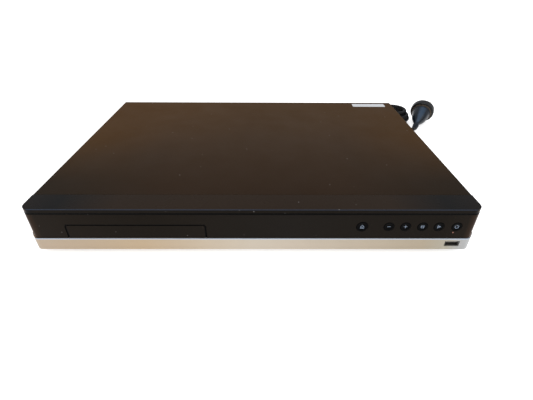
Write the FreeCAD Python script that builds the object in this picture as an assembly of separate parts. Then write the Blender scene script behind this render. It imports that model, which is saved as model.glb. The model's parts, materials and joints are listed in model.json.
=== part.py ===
import FreeCAD, Part
import math
import os

# A blu-ray player of a home-cinema set: cabinet, disc drive, buttons, boards, sockets and mains cord.
# Millimetres. X to the right, Y to the back, Z up. While it is drawn, Y is measured from the front
# face. A saved piece is moved so that the origin is the middle of the footprint, on the floor.

V = FreeCAD.Vector
os.makedirs("parts", exist_ok=True)

# Overall
WIDTH = 432.0
DEPTH = 305.0
CABINET_HEIGHT = 48.0
FOOT_HEIGHT = 7.0
JACK_REACH = 9.0

# Clearances
SEAT = 0.3
RUN = 0.05
CUT = 1.0

# Sheet
SHEET = 0.7
CHASSIS_SHEET = 0.8
COVER_BEND = 0.9

# Front
FRONT_DEPTH = 25.5
CORNER = 7.0
CAP_CORNER = 9.5
CAP_HEIGHT = 4.7
CAP_PLATE = 2.2
SHADOW_GAP = 1.0
PANEL_HEIGHT = 28.5
PANEL_WALL = 2.5
PANEL_INSET = 1.0
PANEL_SIDE_INSET = 0.6
PANEL_CORNER = 4.0
BEZEL_WALL = 2.0
BEZEL_CORNER = 4.5
FRAME_WALL = 2.0
FRAME_FRONT = 4.0
FRAME_DEPTH = 16.0

# Door and tray
DRIVE_X = 103.55 - WIDTH / 2
DOOR_WIDTH = 133.3
DOOR_HEIGHT = 14.55
DOOR_CORNER = 3.0
DOOR_GAP = 0.7
TRAY_WIDTH = 128.0
TRAY_LENGTH = 196.0
TRAY_BOTTOM = 26.8
TRAY_TOP = 33.2
TRAY_TRAVEL = 138.0
SPINDLE_BACK = 70.0
DISC_RADIUS = 60.0
SMALL_DISC_RADIUS = 40.0

# Buttons
BUTTON_Z = 34.5
BUTTON_TRAVEL = 0.5
BUTTON_GAP = 0.3
OPEN_RADIUS = 5.5
KEY_RADIUS = 4.85
BUTTON_FROM_END = {"open": 111.3, "volume_down": 85.6, "volume_up": 69.6,
                   "stop": 53.2, "play": 37.4, "power": 20.1}
BUTTON_X = {name: WIDTH / 2 - gap for name, gap in BUTTON_FROM_END.items()}

# Rear
FAN_X = WIDTH / 2 - 26.0
FAN_SIZE = 40.0
FAN_THICK = 20.0
INLET_X = WIDTH / 2 - 186.0
SOCKET_Z = 25.0
TERMINAL_X = INLET_X + 101.0
TERMINAL_PITCH = 12.0
RCA_X = (INLET_X - 90.0, INLET_X - 104.0, INLET_X - 118.0)
RCA_RADIUS = 4.15
RCA_BORE = 1.7
RCA_BORE_DEPTH = 7.5
RCA_COLLAR = 5.2
ANTENNA_X = INLET_X - 155.0
ANTENNA_RADIUS = 4.75
ANTENNA_COLLAR = 5.8
COLLAR_FACE = DEPTH + 1.0
HDMI_X = INLET_X - 30.0
LAN_X = INLET_X - 60.0
BOARD_Z = 14.4
BOARD_THICK = 1.6

# Cord
CORD = 6.0

# Worked out
TOP = FOOT_HEIGHT + CABINET_HEIGHT
CAP_BOTTOM = TOP - CAP_HEIGHT
PANEL_TOP = CAP_BOTTOM - SHADOW_GAP
PANEL_BOTTOM = PANEL_TOP - PANEL_HEIGHT
FLOOR_TOP = FOOT_HEIGHT + 1.4
FLOOR_BOTTOM = FLOOR_TOP - CHASSIS_SHEET
FRAME_BACK = FRAME_FRONT + FRAME_WALL
FRAME_HALF = WIDTH / 2 - PANEL_SIDE_INSET - PANEL_WALL - SEAT
COVER_TOP = TOP
COVER_HALF = WIDTH / 2
COVER_FRONT = FRONT_DEPTH + SEAT
PANEL_REAR = DEPTH - SHEET
REAR_SHEET_FRONT = PANEL_REAR - CHASSIS_SHEET
DOOR_BOTTOM = PANEL_BOTTOM + SEAT
DOOR_TOP = DOOR_BOTTOM + DOOR_HEIGHT
TRAY_FRONT = PANEL_INSET + PANEL_WALL
BOARD_TOP = BOARD_Z + BOARD_THICK
HALF_FOOTPRINT = (DEPTH + JACK_REACH) / 2


def save(node, shape):
    placed = shape.copy()
    placed.translate(V(0, -HALF_FOOTPRINT, 0))
    placed.exportStep("parts/" + node + ".step")


def box(x0, x1, y0, y1, z0, z1):
    return Part.makeBox(x1 - x0, y1 - y0, z1 - z0, V(x0, y0, z0))


def post(x, y, z0, z1, radius):
    return Part.makeCylinder(radius, z1 - z0, V(x, y, z0))


def rod_y(x, z, y0, y1, radius):
    return Part.makeCylinder(radius, y1 - y0, V(x, y0, z), V(0, 1, 0))


def rod_x(y, z, x0, x1, radius):
    return Part.makeCylinder(radius, x1 - x0, V(x0, y, z), V(1, 0, 0))


def cone_y(x, z, y0, y1, radius0, radius1):
    return Part.makeCone(radius0, radius1, y1 - y0, V(x, y0, z), V(0, 1, 0))


def join(shapes):
    whole = shapes[0].multiFuse(shapes[1:])
    return whole.removeSplitter()


def cut_all(shape, tools):
    return shape.cut(Part.makeCompound(tools))


def outline(points):
    """A closed wire through points (u, v, radius), each corner rounded by its radius."""
    count = len(points)
    edges = []
    starts = []
    ends = []
    for i in range(count):
        before = V(points[i - 1][0], points[i - 1][1], 0)
        here = V(points[i][0], points[i][1], 0)
        after = V(points[(i + 1) % count][0], points[(i + 1) % count][1], 0)
        radius = points[i][2]
        back = (before - here).normalize()
        ahead = (after - here).normalize()
        half = math.acos(max(-1.0, min(1.0, back.dot(ahead)))) / 2
        setback = radius / math.tan(half) if radius > 0 else 0.0
        starts.append(here + back * setback)
        ends.append(here + ahead * setback)
        if radius > 0:
            bisector = (back + ahead).normalize()
            middle = here + bisector * (radius / math.sin(half) - radius)
            edges.append((i, Part.Arc(starts[i], middle, ends[i]).toShape()))
    arcs = dict(edges)
    loop = []
    for i in range(count):
        if i in arcs:
            loop.append(arcs[i])
        following = (i + 1) % count
        if (starts[following] - ends[i]).Length > 1e-6:
            loop.append(Part.makeLine(ends[i], starts[following]))
    return Part.Wire(loop)


def prism_z(points, z0, z1):
    """An outline seen from above, drawn up from z0 to z1."""
    face = Part.Face(outline(points))
    face.translate(V(0, 0, z0))
    return face.extrude(V(0, 0, z1 - z0))


def prism_y(points, y0, y1):
    """An outline seen from the front, u to the right and v up, drawn back from y0 to y1."""
    face = Part.Face(outline(points))
    face.rotate(V(0, 0, 0), V(1, 0, 0), 90)
    face.translate(V(0, y0, 0))
    return face.extrude(V(0, y1 - y0, 0))


def slab(half, y0, y1, radius, z0, z1):
    """A block as wide as the front, with its two front corners rounded as seen from above."""
    points = [(-half, y0, radius), (half, y0, radius), (half, y1, 0), (-half, y1, 0)]
    return prism_z(points, z0, z1)


def front_window(x0, x1, z0, z1, radius, y0, y1):
    points = [(x0, z0, radius), (x1, z0, radius), (x1, z1, radius), (x0, z1, radius)]
    return prism_y(points, y0, y1)


def button_radius(name):
    return OPEN_RADIUS if name == "open" else KEY_RADIUS


# Enclosure

COVER_SIDE_BOTTOM = FOOT_HEIGHT + 0.8
LIP_Z = CAP_BOTTOM + 1.5
LIP_HALF = WIDTH / 2 - 15.0
LIP_FRONT = 22.0
VENT_LENGTH = 14.0
VENT_WIDTH = 2.4
VENT_PITCH = 6.0
VENT_COUNT = 20
VENT_START = DEPTH - 185.0
SIDE_SCREW_Y = (60.0, DEPTH - 55.0)
SIDE_SCREW_Z = 14.0
REAR_TAB_X = (65.0 - WIDTH / 2, 0.0, WIDTH / 2 - 65.0)
REAR_TAB_HALF = 7.0
REAR_TAB_DROP = 8.0
REAR_SCREW_Z = COVER_TOP - SHEET - 4.3
PAN_HEAD_RADIUS = 3.0
PAN_HEAD_HEIGHT = 1.8
PAN_HEAD_ROUND = 0.9
CROSS_HALF = 1.6
CROSS_WIDTH = 0.6
LABEL_LEFT = WIDTH / 2 - 63.6
LABEL_RIGHT = WIDTH / 2 - 12.0
LABEL_FRONT = DEPTH - 19.5
LABEL_BACK = DEPTH - 6.3
LABEL_THICK = 0.12
LABEL_CORNER = 2.0
SCREW_SHANK = 1.5
SCREW_HOLE = 1.6
SCREW_HEAD = 2.6


def front_top_cap():
    skirt = PANEL_WALL
    block = slab(WIDTH / 2, 0, FRONT_DEPTH, CAP_CORNER, CAP_BOTTOM, TOP)
    hollow = slab(WIDTH / 2 - skirt, skirt, FRONT_DEPTH + CUT, CAP_CORNER - skirt, CAP_BOTTOM - CUT,
                  TOP - CAP_PLATE)
    return block.cut(hollow)


def panel_outline(grow):
    half = WIDTH / 2 - PANEL_SIDE_INSET + grow
    bottom = PANEL_BOTTOM - grow
    corner = PANEL_CORNER + grow
    return [(-half, bottom, corner), (half, bottom, corner), (half, TOP, 0), (-half, TOP, 0)]


def fascia_panel():
    half = WIDTH / 2 - PANEL_SIDE_INSET
    radius = CORNER - PANEL_SIDE_INSET
    block = slab(half, PANEL_INSET, FRONT_DEPTH, radius, PANEL_BOTTOM, PANEL_TOP)
    block = block.common(prism_y(panel_outline(0), 0, FRONT_DEPTH + CUT))
    hollow = slab(half - PANEL_WALL, PANEL_INSET + PANEL_WALL, FRONT_DEPTH + CUT, radius - PANEL_WALL,
                  PANEL_BOTTOM - CUT, PANEL_TOP + CUT)
    tools = [hollow]
    door_left = DRIVE_X - DOOR_WIDTH / 2 - DOOR_GAP
    door_right = DRIVE_X + DOOR_WIDTH / 2 + DOOR_GAP
    door_top = DOOR_TOP + DOOR_GAP
    notch = [(door_left, PANEL_BOTTOM - CUT, 0), (door_right, PANEL_BOTTOM - CUT, 0),
             (door_right, door_top, DOOR_CORNER + DOOR_GAP), (door_left, door_top, DOOR_CORNER + DOOR_GAP)]
    tools.append(prism_y(notch, 0, FRAME_FRONT))
    for name in BUTTON_X:
        tools.append(rod_y(BUTTON_X[name], BUTTON_Z, 0, FRAME_FRONT, button_radius(name) + BUTTON_GAP))
    tools.append(rod_y(LIGHT_X, LIGHT_Z, 0, FRAME_FRONT, LIGHT_RADIUS + SEAT))
    return cut_all(block, tools)


def silver_bezel():
    top = PANEL_BOTTOM + PANEL_CORNER
    block = slab(WIDTH / 2, 0, FRONT_DEPTH, CORNER, FOOT_HEIGHT, top)
    half = WIDTH / 2
    face = [(-half, FOOT_HEIGHT, BEZEL_CORNER), (half, FOOT_HEIGHT, BEZEL_CORNER), (half, TOP, 0),
            (-half, TOP, 0)]
    block = block.common(prism_y(face, -CUT, FRONT_DEPTH + CUT))
    hollow = slab(half - BEZEL_WALL, BEZEL_WALL, FRONT_DEPTH + CUT, CORNER - BEZEL_WALL,
                  FOOT_HEIGHT + BEZEL_WALL, top + CUT)
    above = prism_y(panel_outline(SEAT / 2), -CUT, FRONT_DEPTH + CUT)
    usb = front_window(USB_X - USB_WIDTH / 2 - USB_ROOM_SIDE, USB_X + USB_WIDTH / 2 + USB_ROOM_SIDE,
                       USB_Z - USB_HEIGHT / 2 - USB_ROOM_TOP, USB_Z + USB_HEIGHT / 2 + USB_ROOM_TOP,
                       0, -CUT, BEZEL_WALL + CUT)
    return cut_all(block, [hollow, above, usb])


# Front frame

LIGHT_X = BUTTON_X["power"] - 1.7
LIGHT_Z = 27.5
LIGHT_RADIUS = 0.8
USB_X = BUTTON_X["power"] + 0.5
USB_Z = 14.2
USB_WIDTH = 13.1
USB_HEIGHT = 5.7
USB_ROOM_SIDE = 0.8
USB_ROOM_TOP = 0.3
FLANGE_GROW = 0.95
FLANGE_ROOM = 0.6
BOARD_FRONT = 12.0
BOARD_LEFT = DRIVE_X + DOOR_WIDTH / 2 + 14.8
BOARD_RIGHT = WIDTH / 2 - 10.0
FRAME_POST_X = (BOARD_LEFT + 2.8, BUTTON_X["open"] - 16.3, BOARD_RIGHT - 3.0)
FRAME_POST_Z = (25.0, 43.0)
FRAME_POST_RADIUS = 2.5
FRAME_TOP = TOP - CAP_PLATE - SEAT
FRAME_BOTTOM = FOOT_HEIGHT + BEZEL_WALL + SEAT
DISPLAY_LEFT = BOARD_LEFT + 6.0
DISPLAY_RIGHT = BUTTON_X["open"] - 29.7
DISPLAY_BOTTOM = 24.0
DISPLAY_TOP = 44.0


def front_frame():
    radius = CORNER - PANEL_SIDE_INSET - PANEL_WALL - SEAT
    back = FRAME_FRONT + FRAME_DEPTH
    block = slab(FRAME_HALF, FRAME_FRONT, back, radius, FRAME_BOTTOM, FRAME_TOP)
    hollow = slab(FRAME_HALF - FRAME_WALL, FRAME_BACK, back + CUT, radius - FRAME_WALL,
                  FRAME_BOTTOM + 1.5, FRAME_TOP - FRAME_WALL)
    tray_room = 1.5
    tray_half = TRAY_WIDTH / 2 + tray_room
    tray = box(DRIVE_X - tray_half, DRIVE_X + tray_half, 0, FRAME_BACK + CUT,
               TRAY_BOTTOM - RACK_DEPTH - tray_room, TRAY_TOP + tray_room)
    inset = 3.0
    display = box(DISPLAY_LEFT + inset, DISPLAY_RIGHT - inset, 0, FRAME_BACK + CUT,
                  DISPLAY_BOTTOM + inset, DISPLAY_TOP - inset)
    tools = [hollow, tray, display]
    for name in BUTTON_X:
        hole = button_radius(name) + FLANGE_GROW + FLANGE_ROOM
        tools.append(rod_y(BUTTON_X[name], BUTTON_Z, 0, FRAME_BACK + CUT, hole))
    tools.append(rod_y(LIGHT_X, LIGHT_Z, 0, FRAME_BACK + CUT, LIGHT_RADIUS + SEAT))
    tools.append(box(USB_X - USB_WIDTH / 2 - CUT, USB_X + USB_WIDTH / 2 + CUT, 0, FRAME_BACK + CUT,
                     USB_Z - USB_HEIGHT / 2 - CUT, USB_Z + USB_HEIGHT / 2 + CUT))
    shell = cut_all(block, tools)
    posts = [rod_y(x, z, FRAME_BACK, BOARD_FRONT,
                   FRAME_POST_RADIUS) for x in FRAME_POST_X for z in FRAME_POST_Z]
    return join([shell] + posts)


def standby_light():
    return rod_y(LIGHT_X, LIGHT_Z, PANEL_INSET, BOARD_FRONT, LIGHT_RADIUS)


# Cabinet

FOOT_X = WIDTH / 2 - 38.0
FOOT_Y = (38.0, DEPTH - 37.0)
FOOT_PAD_HEIGHT = 1.5
FOOT_RADIUS = 11.0
FOOT_PAD_RADIUS = 9.0
CHASSIS_FRONT = 26.0
CHASSIS_SIDE_TOP = 20.0
CHASSIS_HALF = COVER_HALF - SHEET - SEAT
CHASSIS_LIP = 0.8
STANDOFF_RADIUS = 3.0
STANDOFF_INSET = 7.0
MAIN_LEFT = 11.0 - WIDTH / 2
MAIN_RIGHT = INLET_X - 17.0
MAIN_FRONT = 214.0
POWER_LEFT = INLET_X - 13.0
POWER_RIGHT = WIDTH / 2 - 50.0
POWER_FRONT = 110.0
BOARD_BACK = DEPTH - 5.0


def bottom_chassis():
    side_back = REAR_SHEET_FRONT - SEAT
    floor = box(-CHASSIS_HALF, CHASSIS_HALF, CHASSIS_FRONT, PANEL_REAR, FLOOR_BOTTOM, FLOOR_TOP)
    parts = [floor]
    for side in (-1, 1):
        inner = side * (CHASSIS_HALF - CHASSIS_SHEET)
        outer = side * CHASSIS_HALF
        flange = box(min(inner, outer), max(inner, outer), CHASSIS_FRONT, side_back, FLOOR_BOTTOM,
                     CHASSIS_SIDE_TOP)
        parts.append(flange)
    parts.append(box(-CHASSIS_HALF, CHASSIS_HALF, CHASSIS_FRONT, CHASSIS_FRONT + CHASSIS_SHEET,
                     FLOOR_TOP, FLOOR_TOP + CHASSIS_LIP))
    for left, right, front, back in ((MAIN_LEFT, MAIN_RIGHT, MAIN_FRONT, BOARD_BACK - 13.0),
                                     (POWER_LEFT, POWER_RIGHT, POWER_FRONT, BOARD_BACK - 23.0)):
        for x in (left + STANDOFF_INSET, right - STANDOFF_INSET):
            for y in (front + STANDOFF_INSET, back - STANDOFF_INSET):
                parts.append(post(x, y, FLOOR_TOP, BOARD_Z, STANDOFF_RADIUS))
    whole = join(parts)
    holes = []
    for y in SIDE_SCREW_Y:
        holes.append(rod_x(y, SIDE_SCREW_Z, -WIDTH / 2, WIDTH / 2, SCREW_HOLE))
    return cut_all(whole, holes)


def foot(x, y):
    pad = post(x, y, 0, FOOT_PAD_HEIGHT, FOOT_PAD_RADIUS)
    ring = Part.makeCone(FOOT_RADIUS - 1.2, FOOT_RADIUS, FLOOR_BOTTOM - FOOT_PAD_HEIGHT,
                         V(x, y, FOOT_PAD_HEIGHT))
    return pad.fuse(ring).removeSplitter()


def feet():
    return Part.makeCompound([foot(x, y) for x in (-FOOT_X, FOOT_X) for y in FOOT_Y])


def top_cover():
    inner_half = COVER_HALF - SHEET
    outside = [(-COVER_HALF, COVER_SIDE_BOTTOM, 0), (COVER_HALF, COVER_SIDE_BOTTOM, 0),
               (COVER_HALF, COVER_TOP, COVER_BEND), (-COVER_HALF, COVER_TOP, COVER_BEND)]
    inner_bend = COVER_BEND - SHEET
    inside = [(-inner_half, COVER_SIDE_BOTTOM - CUT, 0), (inner_half, COVER_SIDE_BOTTOM - CUT, 0),
              (inner_half, COVER_TOP - SHEET, inner_bend), (-inner_half, COVER_TOP - SHEET, inner_bend)]
    skin = prism_y(outside, COVER_FRONT, DEPTH).cut(prism_y(inside, COVER_FRONT - CUT, DEPTH + CUT))
    lip = box(-LIP_HALF, LIP_HALF, LIP_FRONT, COVER_FRONT + SHEET, LIP_Z, LIP_Z + SHEET)
    step = box(-LIP_HALF, LIP_HALF, COVER_FRONT, COVER_FRONT + SHEET, LIP_Z, COVER_TOP - SHEET / 2)
    parts = [skin, lip, step]
    for x in REAR_TAB_X:
        tab = box(x - REAR_TAB_HALF, x + REAR_TAB_HALF, PANEL_REAR, DEPTH,
                  COVER_TOP - SHEET - REAR_TAB_DROP, COVER_TOP - SHEET / 2)
        parts.append(tab)
    whole = join(parts)
    tools = []
    for side in (-1, 1):
        x0 = side * COVER_HALF - 2 * SHEET
        x1 = side * COVER_HALF + 2 * SHEET
        for i in range(VENT_COUNT):
            y = VENT_START + i * VENT_PITCH
            tools.append(box(x0, x1, y, y + VENT_WIDTH, SOCKET_Z, SOCKET_Z + VENT_LENGTH))
    for y in SIDE_SCREW_Y:
        tools.append(rod_x(y, SIDE_SCREW_Z, -WIDTH / 2 - CUT, WIDTH / 2 + CUT, SCREW_HEAD))
    for x in REAR_TAB_X:
        tools.append(rod_y(x, REAR_SCREW_Z, PANEL_REAR - CUT, DEPTH + CUT, SCREW_HOLE))
    return cut_all(whole, tools)


def side_screw(side, y):
    """A flat-headed screw flush with the cover, its head in the cover and its shank in the chassis."""
    outer = side * COVER_HALF
    inner = side * (COVER_HALF - SHEET)
    head = rod_x(y, SIDE_SCREW_Z, min(outer, inner), max(outer, inner), SCREW_HEAD - 0.1)
    tip = side * (CHASSIS_HALF - CHASSIS_SHEET - 4.0)
    shank = rod_x(y, SIDE_SCREW_Z, min(tip, inner), max(tip, inner), SCREW_SHANK)
    drive = rod_x(y, SIDE_SCREW_Z, min(outer, outer - side * 0.4), max(outer, outer - side * 0.4), 1.0)
    return head.fuse(shank).cut(drive)


def rear_screw(x):
    head = rod_y(x, REAR_SCREW_Z, DEPTH, DEPTH + PAN_HEAD_HEIGHT, PAN_HEAD_RADIUS)
    edges = [edge for edge in head.Edges if abs(edge.CenterOfMass.y - DEPTH - PAN_HEAD_HEIGHT) < 0.01]
    head = head.makeFillet(PAN_HEAD_ROUND, edges)
    shank = rod_y(x, REAR_SCREW_Z, REAR_SHEET_FRONT - 4.0, DEPTH, SCREW_SHANK)
    screw = head.fuse(shank)
    for half_x, half_z in ((CROSS_HALF, CROSS_WIDTH / 2), (CROSS_WIDTH / 2, CROSS_HALF)):
        slot = box(x - half_x, x + half_x, DEPTH + PAN_HEAD_ROUND, DEPTH + PAN_HEAD_HEIGHT + CUT,
                   REAR_SCREW_Z - half_z, REAR_SCREW_Z + half_z)
        screw = screw.cut(slot)
    return screw


def cover_screws():
    screws = [side_screw(side, y) for side in (-1, 1) for y in SIDE_SCREW_Y]
    screws += [rear_screw(x) for x in REAR_TAB_X]
    return Part.makeCompound(screws)


def label_sticker():
    label = box(LABEL_LEFT, LABEL_RIGHT, LABEL_FRONT, LABEL_BACK, COVER_TOP, COVER_TOP + LABEL_THICK)
    corners = [edge for edge in label.Edges if edge.Length < 2 * LABEL_THICK]
    return label.makeFillet(LABEL_CORNER, corners)


# Behind the front

BUTTON_FRONT = 0.7
BUTTON_DISH = 0.5
BUTTON_RIM = 0.9
FLANGE_FRONT = TRAY_FRONT + SEAT
FLANGE_THICK = 0.8
STEM_RADIUS = 1.8
SWITCH_HEIGHT = 3.6
SWITCH_HALF = 3.0
BOARD_BOTTOM = 22.0
FRONT_BOARD_TOP = 46.0


def button(name):
    x = BUTTON_X[name]
    radius = button_radius(name)
    cap = rod_y(x, BUTTON_Z, BUTTON_FRONT, FLANGE_FRONT, radius)
    rim = [edge for edge in cap.Edges if abs(edge.CenterOfMass.y - BUTTON_FRONT) < 0.01]
    cap = cap.makeFillet(0.4, rim)
    dish_radius = radius - BUTTON_RIM
    ball = (dish_radius ** 2 + BUTTON_DISH ** 2) / (2 * BUTTON_DISH)
    dish = Part.makeSphere(ball, V(x, BUTTON_FRONT + BUTTON_DISH - ball, BUTTON_Z))
    flange = rod_y(x, BUTTON_Z, FLANGE_FRONT, FLANGE_FRONT + FLANGE_THICK, radius + FLANGE_GROW)
    stem_end = BOARD_FRONT - SWITCH_HEIGHT - BUTTON_TRAVEL - 0.1
    stem = rod_y(x, BUTTON_Z, FLANGE_FRONT + FLANGE_THICK, stem_end, STEM_RADIUS)
    return join([cap.cut(dish), flange, stem])


def front_board():
    board = box(BOARD_LEFT, BOARD_RIGHT, BOARD_FRONT, BOARD_FRONT + BOARD_THICK, BOARD_BOTTOM,
                FRONT_BOARD_TOP)
    pieces = [board]
    for x in BUTTON_X.values():
        body_front = BOARD_FRONT - SWITCH_HEIGHT + 0.5
        body = box(x - SWITCH_HALF, x + SWITCH_HALF, body_front, BOARD_FRONT,
                   BUTTON_Z - SWITCH_HALF, BUTTON_Z + SWITCH_HALF)
        pieces.append(body)
        pieces.append(rod_y(x, BUTTON_Z, BOARD_FRONT - SWITCH_HEIGHT, body_front, 1.6))
    return join(pieces)


def display_module():
    return box(DISPLAY_LEFT, DISPLAY_RIGHT, 8.0, BOARD_FRONT, DISPLAY_BOTTOM, DISPLAY_TOP)


def usb_socket():
    wall = 0.4
    shell_top = USB_Z + USB_HEIGHT / 2
    outer = box(USB_X - USB_WIDTH / 2, USB_X + USB_WIDTH / 2, 0.6, 16.0, USB_Z - USB_HEIGHT / 2, shell_top)
    inner = box(USB_X - USB_WIDTH / 2 + wall, USB_X + USB_WIDTH / 2 - wall, 0, 15.0,
                USB_Z - USB_HEIGHT / 2 + wall, shell_top - wall)
    tongue = box(USB_X - 5.6, USB_X + 5.6, 2.2, 15.5, USB_Z + 0.2, USB_Z + 2.0)
    board = box(USB_X - 10.7, USB_X + 11.3, FRAME_BACK + SEAT, 24.0, shell_top, shell_top + 1.2)
    return join([outer.cut(inner), tongue, board])


# Gears

RACK_X = DRIVE_X - 46.0
RACK_BACK_X = DRIVE_X - 50.0
RACK_DEPTH = 2.8
RACK_MODULE = 1.0
PINION_TEETH = 16
WHEEL_MODULE = 0.8
WHEEL_TEETH = 30
SMALL_TEETH = 12
BACKLASH = 0.3
TOOTH_TIP = 0.8
TOOTH_ROOT = 1.1
FLANK = math.tan(math.radians(20))
PINION_RADIUS = RACK_MODULE * PINION_TEETH / 2
WHEEL_RADIUS = WHEEL_MODULE * WHEEL_TEETH / 2
SMALL_RADIUS = WHEEL_MODULE * SMALL_TEETH / 2
GEAR_Y = 31.0
GEAR_X = RACK_X + PINION_RADIUS
PULLEY_X = GEAR_X + WHEEL_RADIUS + SMALL_RADIUS
PULLEY_RADIUS = 7.2
MOTOR_PULLEY_RADIUS = 2.6
MOTOR_X = PULLEY_X + 28.0
LOADING_MOTOR_RADIUS = 10.0
LOADING_MOTOR_HALF = 8.5
LOADING_MOTOR_BOTTOM = 10.0
MOTOR_SHAFT_RADIUS = 1.0
DECK_BOTTOM = 19.6
DECK_TOP = 21.4
WHEEL_BOTTOM = DECK_TOP + SEAT
WHEEL_TOP = WHEEL_BOTTOM + 2.0
PINION_BOTTOM = 24.3
PINION_TOP = 26.4
GEAR_POST_RADIUS = 1.5
BELT_SECTION = 1.0
GROOVE_DEPTH = 1.2


def tooth_half(module, height):
    """Half the width of a tooth, height above the pitch line."""
    return (math.pi * module / 2 - BACKLASH / 2) / 2 - height * FLANK


def gear(x, y, z0, z1, module, teeth, first_angle):
    """A spur gear with straight-sided teeth, one tooth pointing along first_angle (radians)."""
    radius = module * teeth / 2
    root = radius - TOOTH_ROOT * module
    tip = radius + TOOTH_TIP * module
    root_half = tooth_half(module, -TOOTH_ROOT * module) / root
    tip_half = tooth_half(module, TOOTH_TIP * module) / tip
    points = []
    for i in range(teeth):
        angle = first_angle + i * 2 * math.pi / teeth
        for at, distance in ((angle - root_half, root), (angle - tip_half, tip),
                             (angle + tip_half, tip), (angle + root_half, root)):
            points.append(V(x + distance * math.cos(at), y + distance * math.sin(at), z0))
    face = Part.Face(Part.makePolygon(points + [points[0]]))
    return face.extrude(V(0, 0, z1 - z0))


def rack(y0, y1, z0, z1):
    """A strip with teeth towards +X, one tooth level with the drive gear."""
    pitch = math.pi * RACK_MODULE
    root_x = RACK_X - TOOTH_ROOT * RACK_MODULE
    tip_x = RACK_X + TOOTH_TIP * RACK_MODULE
    root_half = tooth_half(RACK_MODULE, -TOOTH_ROOT * RACK_MODULE)
    tip_half = tooth_half(RACK_MODULE, TOOTH_TIP * RACK_MODULE)
    points = [V(RACK_BACK_X, y0, z0), V(root_x, y0, z0)]
    first = math.ceil((y0 + root_half - GEAR_Y) / pitch)
    last = math.floor((y1 - root_half - GEAR_Y) / pitch)
    for i in range(first, last + 1):
        y = GEAR_Y + i * pitch
        points.append(V(root_x, y - root_half, z0))
        points.append(V(tip_x, y - tip_half, z0))
        points.append(V(tip_x, y + tip_half, z0))
        points.append(V(root_x, y + root_half, z0))
    points.append(V(root_x, y1, z0))
    points.append(V(RACK_BACK_X, y1, z0))
    face = Part.Face(Part.makePolygon(points + [points[0]]))
    return face.extrude(V(0, 0, z1 - z0))


def grooved_pulley(x, y, z0, z1, radius):
    disc = post(x, y, z0, z1, radius)
    middle = (z0 + z1) / 2
    half = BELT_SECTION / 2 + SEAT
    ring = post(x, y, middle - half, middle + half, radius + CUT)
    core = post(x, y, middle - half, middle + half, radius - GROOVE_DEPTH)
    return disc.cut(ring.cut(core))


def drive_gear():
    half_tooth = math.pi / PINION_TEETH
    pinion = gear(GEAR_X, GEAR_Y, PINION_BOTTOM, PINION_TOP, RACK_MODULE, PINION_TEETH, math.pi + half_tooth)
    wheel = gear(GEAR_X, GEAR_Y, WHEEL_BOTTOM, WHEEL_TOP, WHEEL_MODULE, WHEEL_TEETH, 0)
    hub = post(GEAR_X, GEAR_Y, WHEEL_BOTTOM, PINION_TOP, 5.0)
    bore = post(GEAR_X, GEAR_Y, WHEEL_BOTTOM - CUT, PINION_TOP + CUT, GEAR_POST_RADIUS + RUN)
    return join([pinion, wheel, hub]).cut(bore)


def pulley_gear():
    half_tooth = math.pi / SMALL_TEETH
    small = gear(PULLEY_X, GEAR_Y, WHEEL_BOTTOM, WHEEL_TOP, WHEEL_MODULE, SMALL_TEETH, math.pi + half_tooth)
    pulley = grooved_pulley(PULLEY_X, GEAR_Y, WHEEL_TOP + SEAT, PINION_TOP, PULLEY_RADIUS)
    hub = post(PULLEY_X, GEAR_Y, WHEEL_BOTTOM, PINION_TOP, 3.2)
    bore = post(PULLEY_X, GEAR_Y, WHEEL_BOTTOM - CUT, PINION_TOP + CUT, GEAR_POST_RADIUS + RUN)
    return join([small, pulley, hub]).cut(bore)


def motor_pulley():
    pulley = grooved_pulley(MOTOR_X, GEAR_Y, WHEEL_TOP + SEAT, PINION_TOP, MOTOR_PULLEY_RADIUS)
    return pulley.cut(post(MOTOR_X, GEAR_Y, WHEEL_TOP, PINION_TOP - 0.6, MOTOR_SHAFT_RADIUS + RUN))


def loading_motor():
    can = post(MOTOR_X, GEAR_Y, LOADING_MOTOR_BOTTOM, DECK_BOTTOM, LOADING_MOTOR_RADIUS)
    reach = LOADING_MOTOR_RADIUS + CUT
    between_flats = box(MOTOR_X - reach, MOTOR_X + reach, GEAR_Y - LOADING_MOTOR_HALF,
                        GEAR_Y + LOADING_MOTOR_HALF,
                        LOADING_MOTOR_BOTTOM, DECK_BOTTOM)
    shaft = post(MOTOR_X, GEAR_Y, DECK_BOTTOM, PINION_TOP - 1.0, MOTOR_SHAFT_RADIUS)
    return join([can.common(between_flats), shaft])


def belt_loop(grow, z0, z1):
    """The space inside a line drawn tight round both pulleys, grow outside their grooves."""
    big = PULLEY_RADIUS - GROOVE_DEPTH + grow
    small = MOTOR_PULLEY_RADIUS - GROOVE_DEPTH + grow
    reach = MOTOR_X - PULLEY_X
    lean = math.acos((big - small) / reach)
    touch = []
    for x, radius in ((PULLEY_X, big), (MOTOR_X, small)):
        for side in (1, -1):
            touch.append(V(x + radius * math.cos(lean), GEAR_Y + side * radius * math.sin(lean), z0))
    far_left = V(PULLEY_X - big, GEAR_Y, z0)
    far_right = V(MOTOR_X + small, GEAR_Y, z0)
    edges = [Part.Arc(touch[0], far_left, touch[1]).toShape(), Part.makeLine(touch[1], touch[3]),
             Part.Arc(touch[3], far_right, touch[2]).toShape(), Part.makeLine(touch[2], touch[0])]
    return Part.Face(Part.Wire(edges)).extrude(V(0, 0, z1 - z0))


def loading_belt():
    middle = (WHEEL_TOP + SEAT + PINION_TOP) / 2
    z0 = middle - BELT_SECTION / 2
    z1 = middle + BELT_SECTION / 2
    return belt_loop(SEAT + BELT_SECTION, z0, z1).cut(belt_loop(SEAT, z0 - CUT, z1 + CUT))


# Drive

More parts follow.
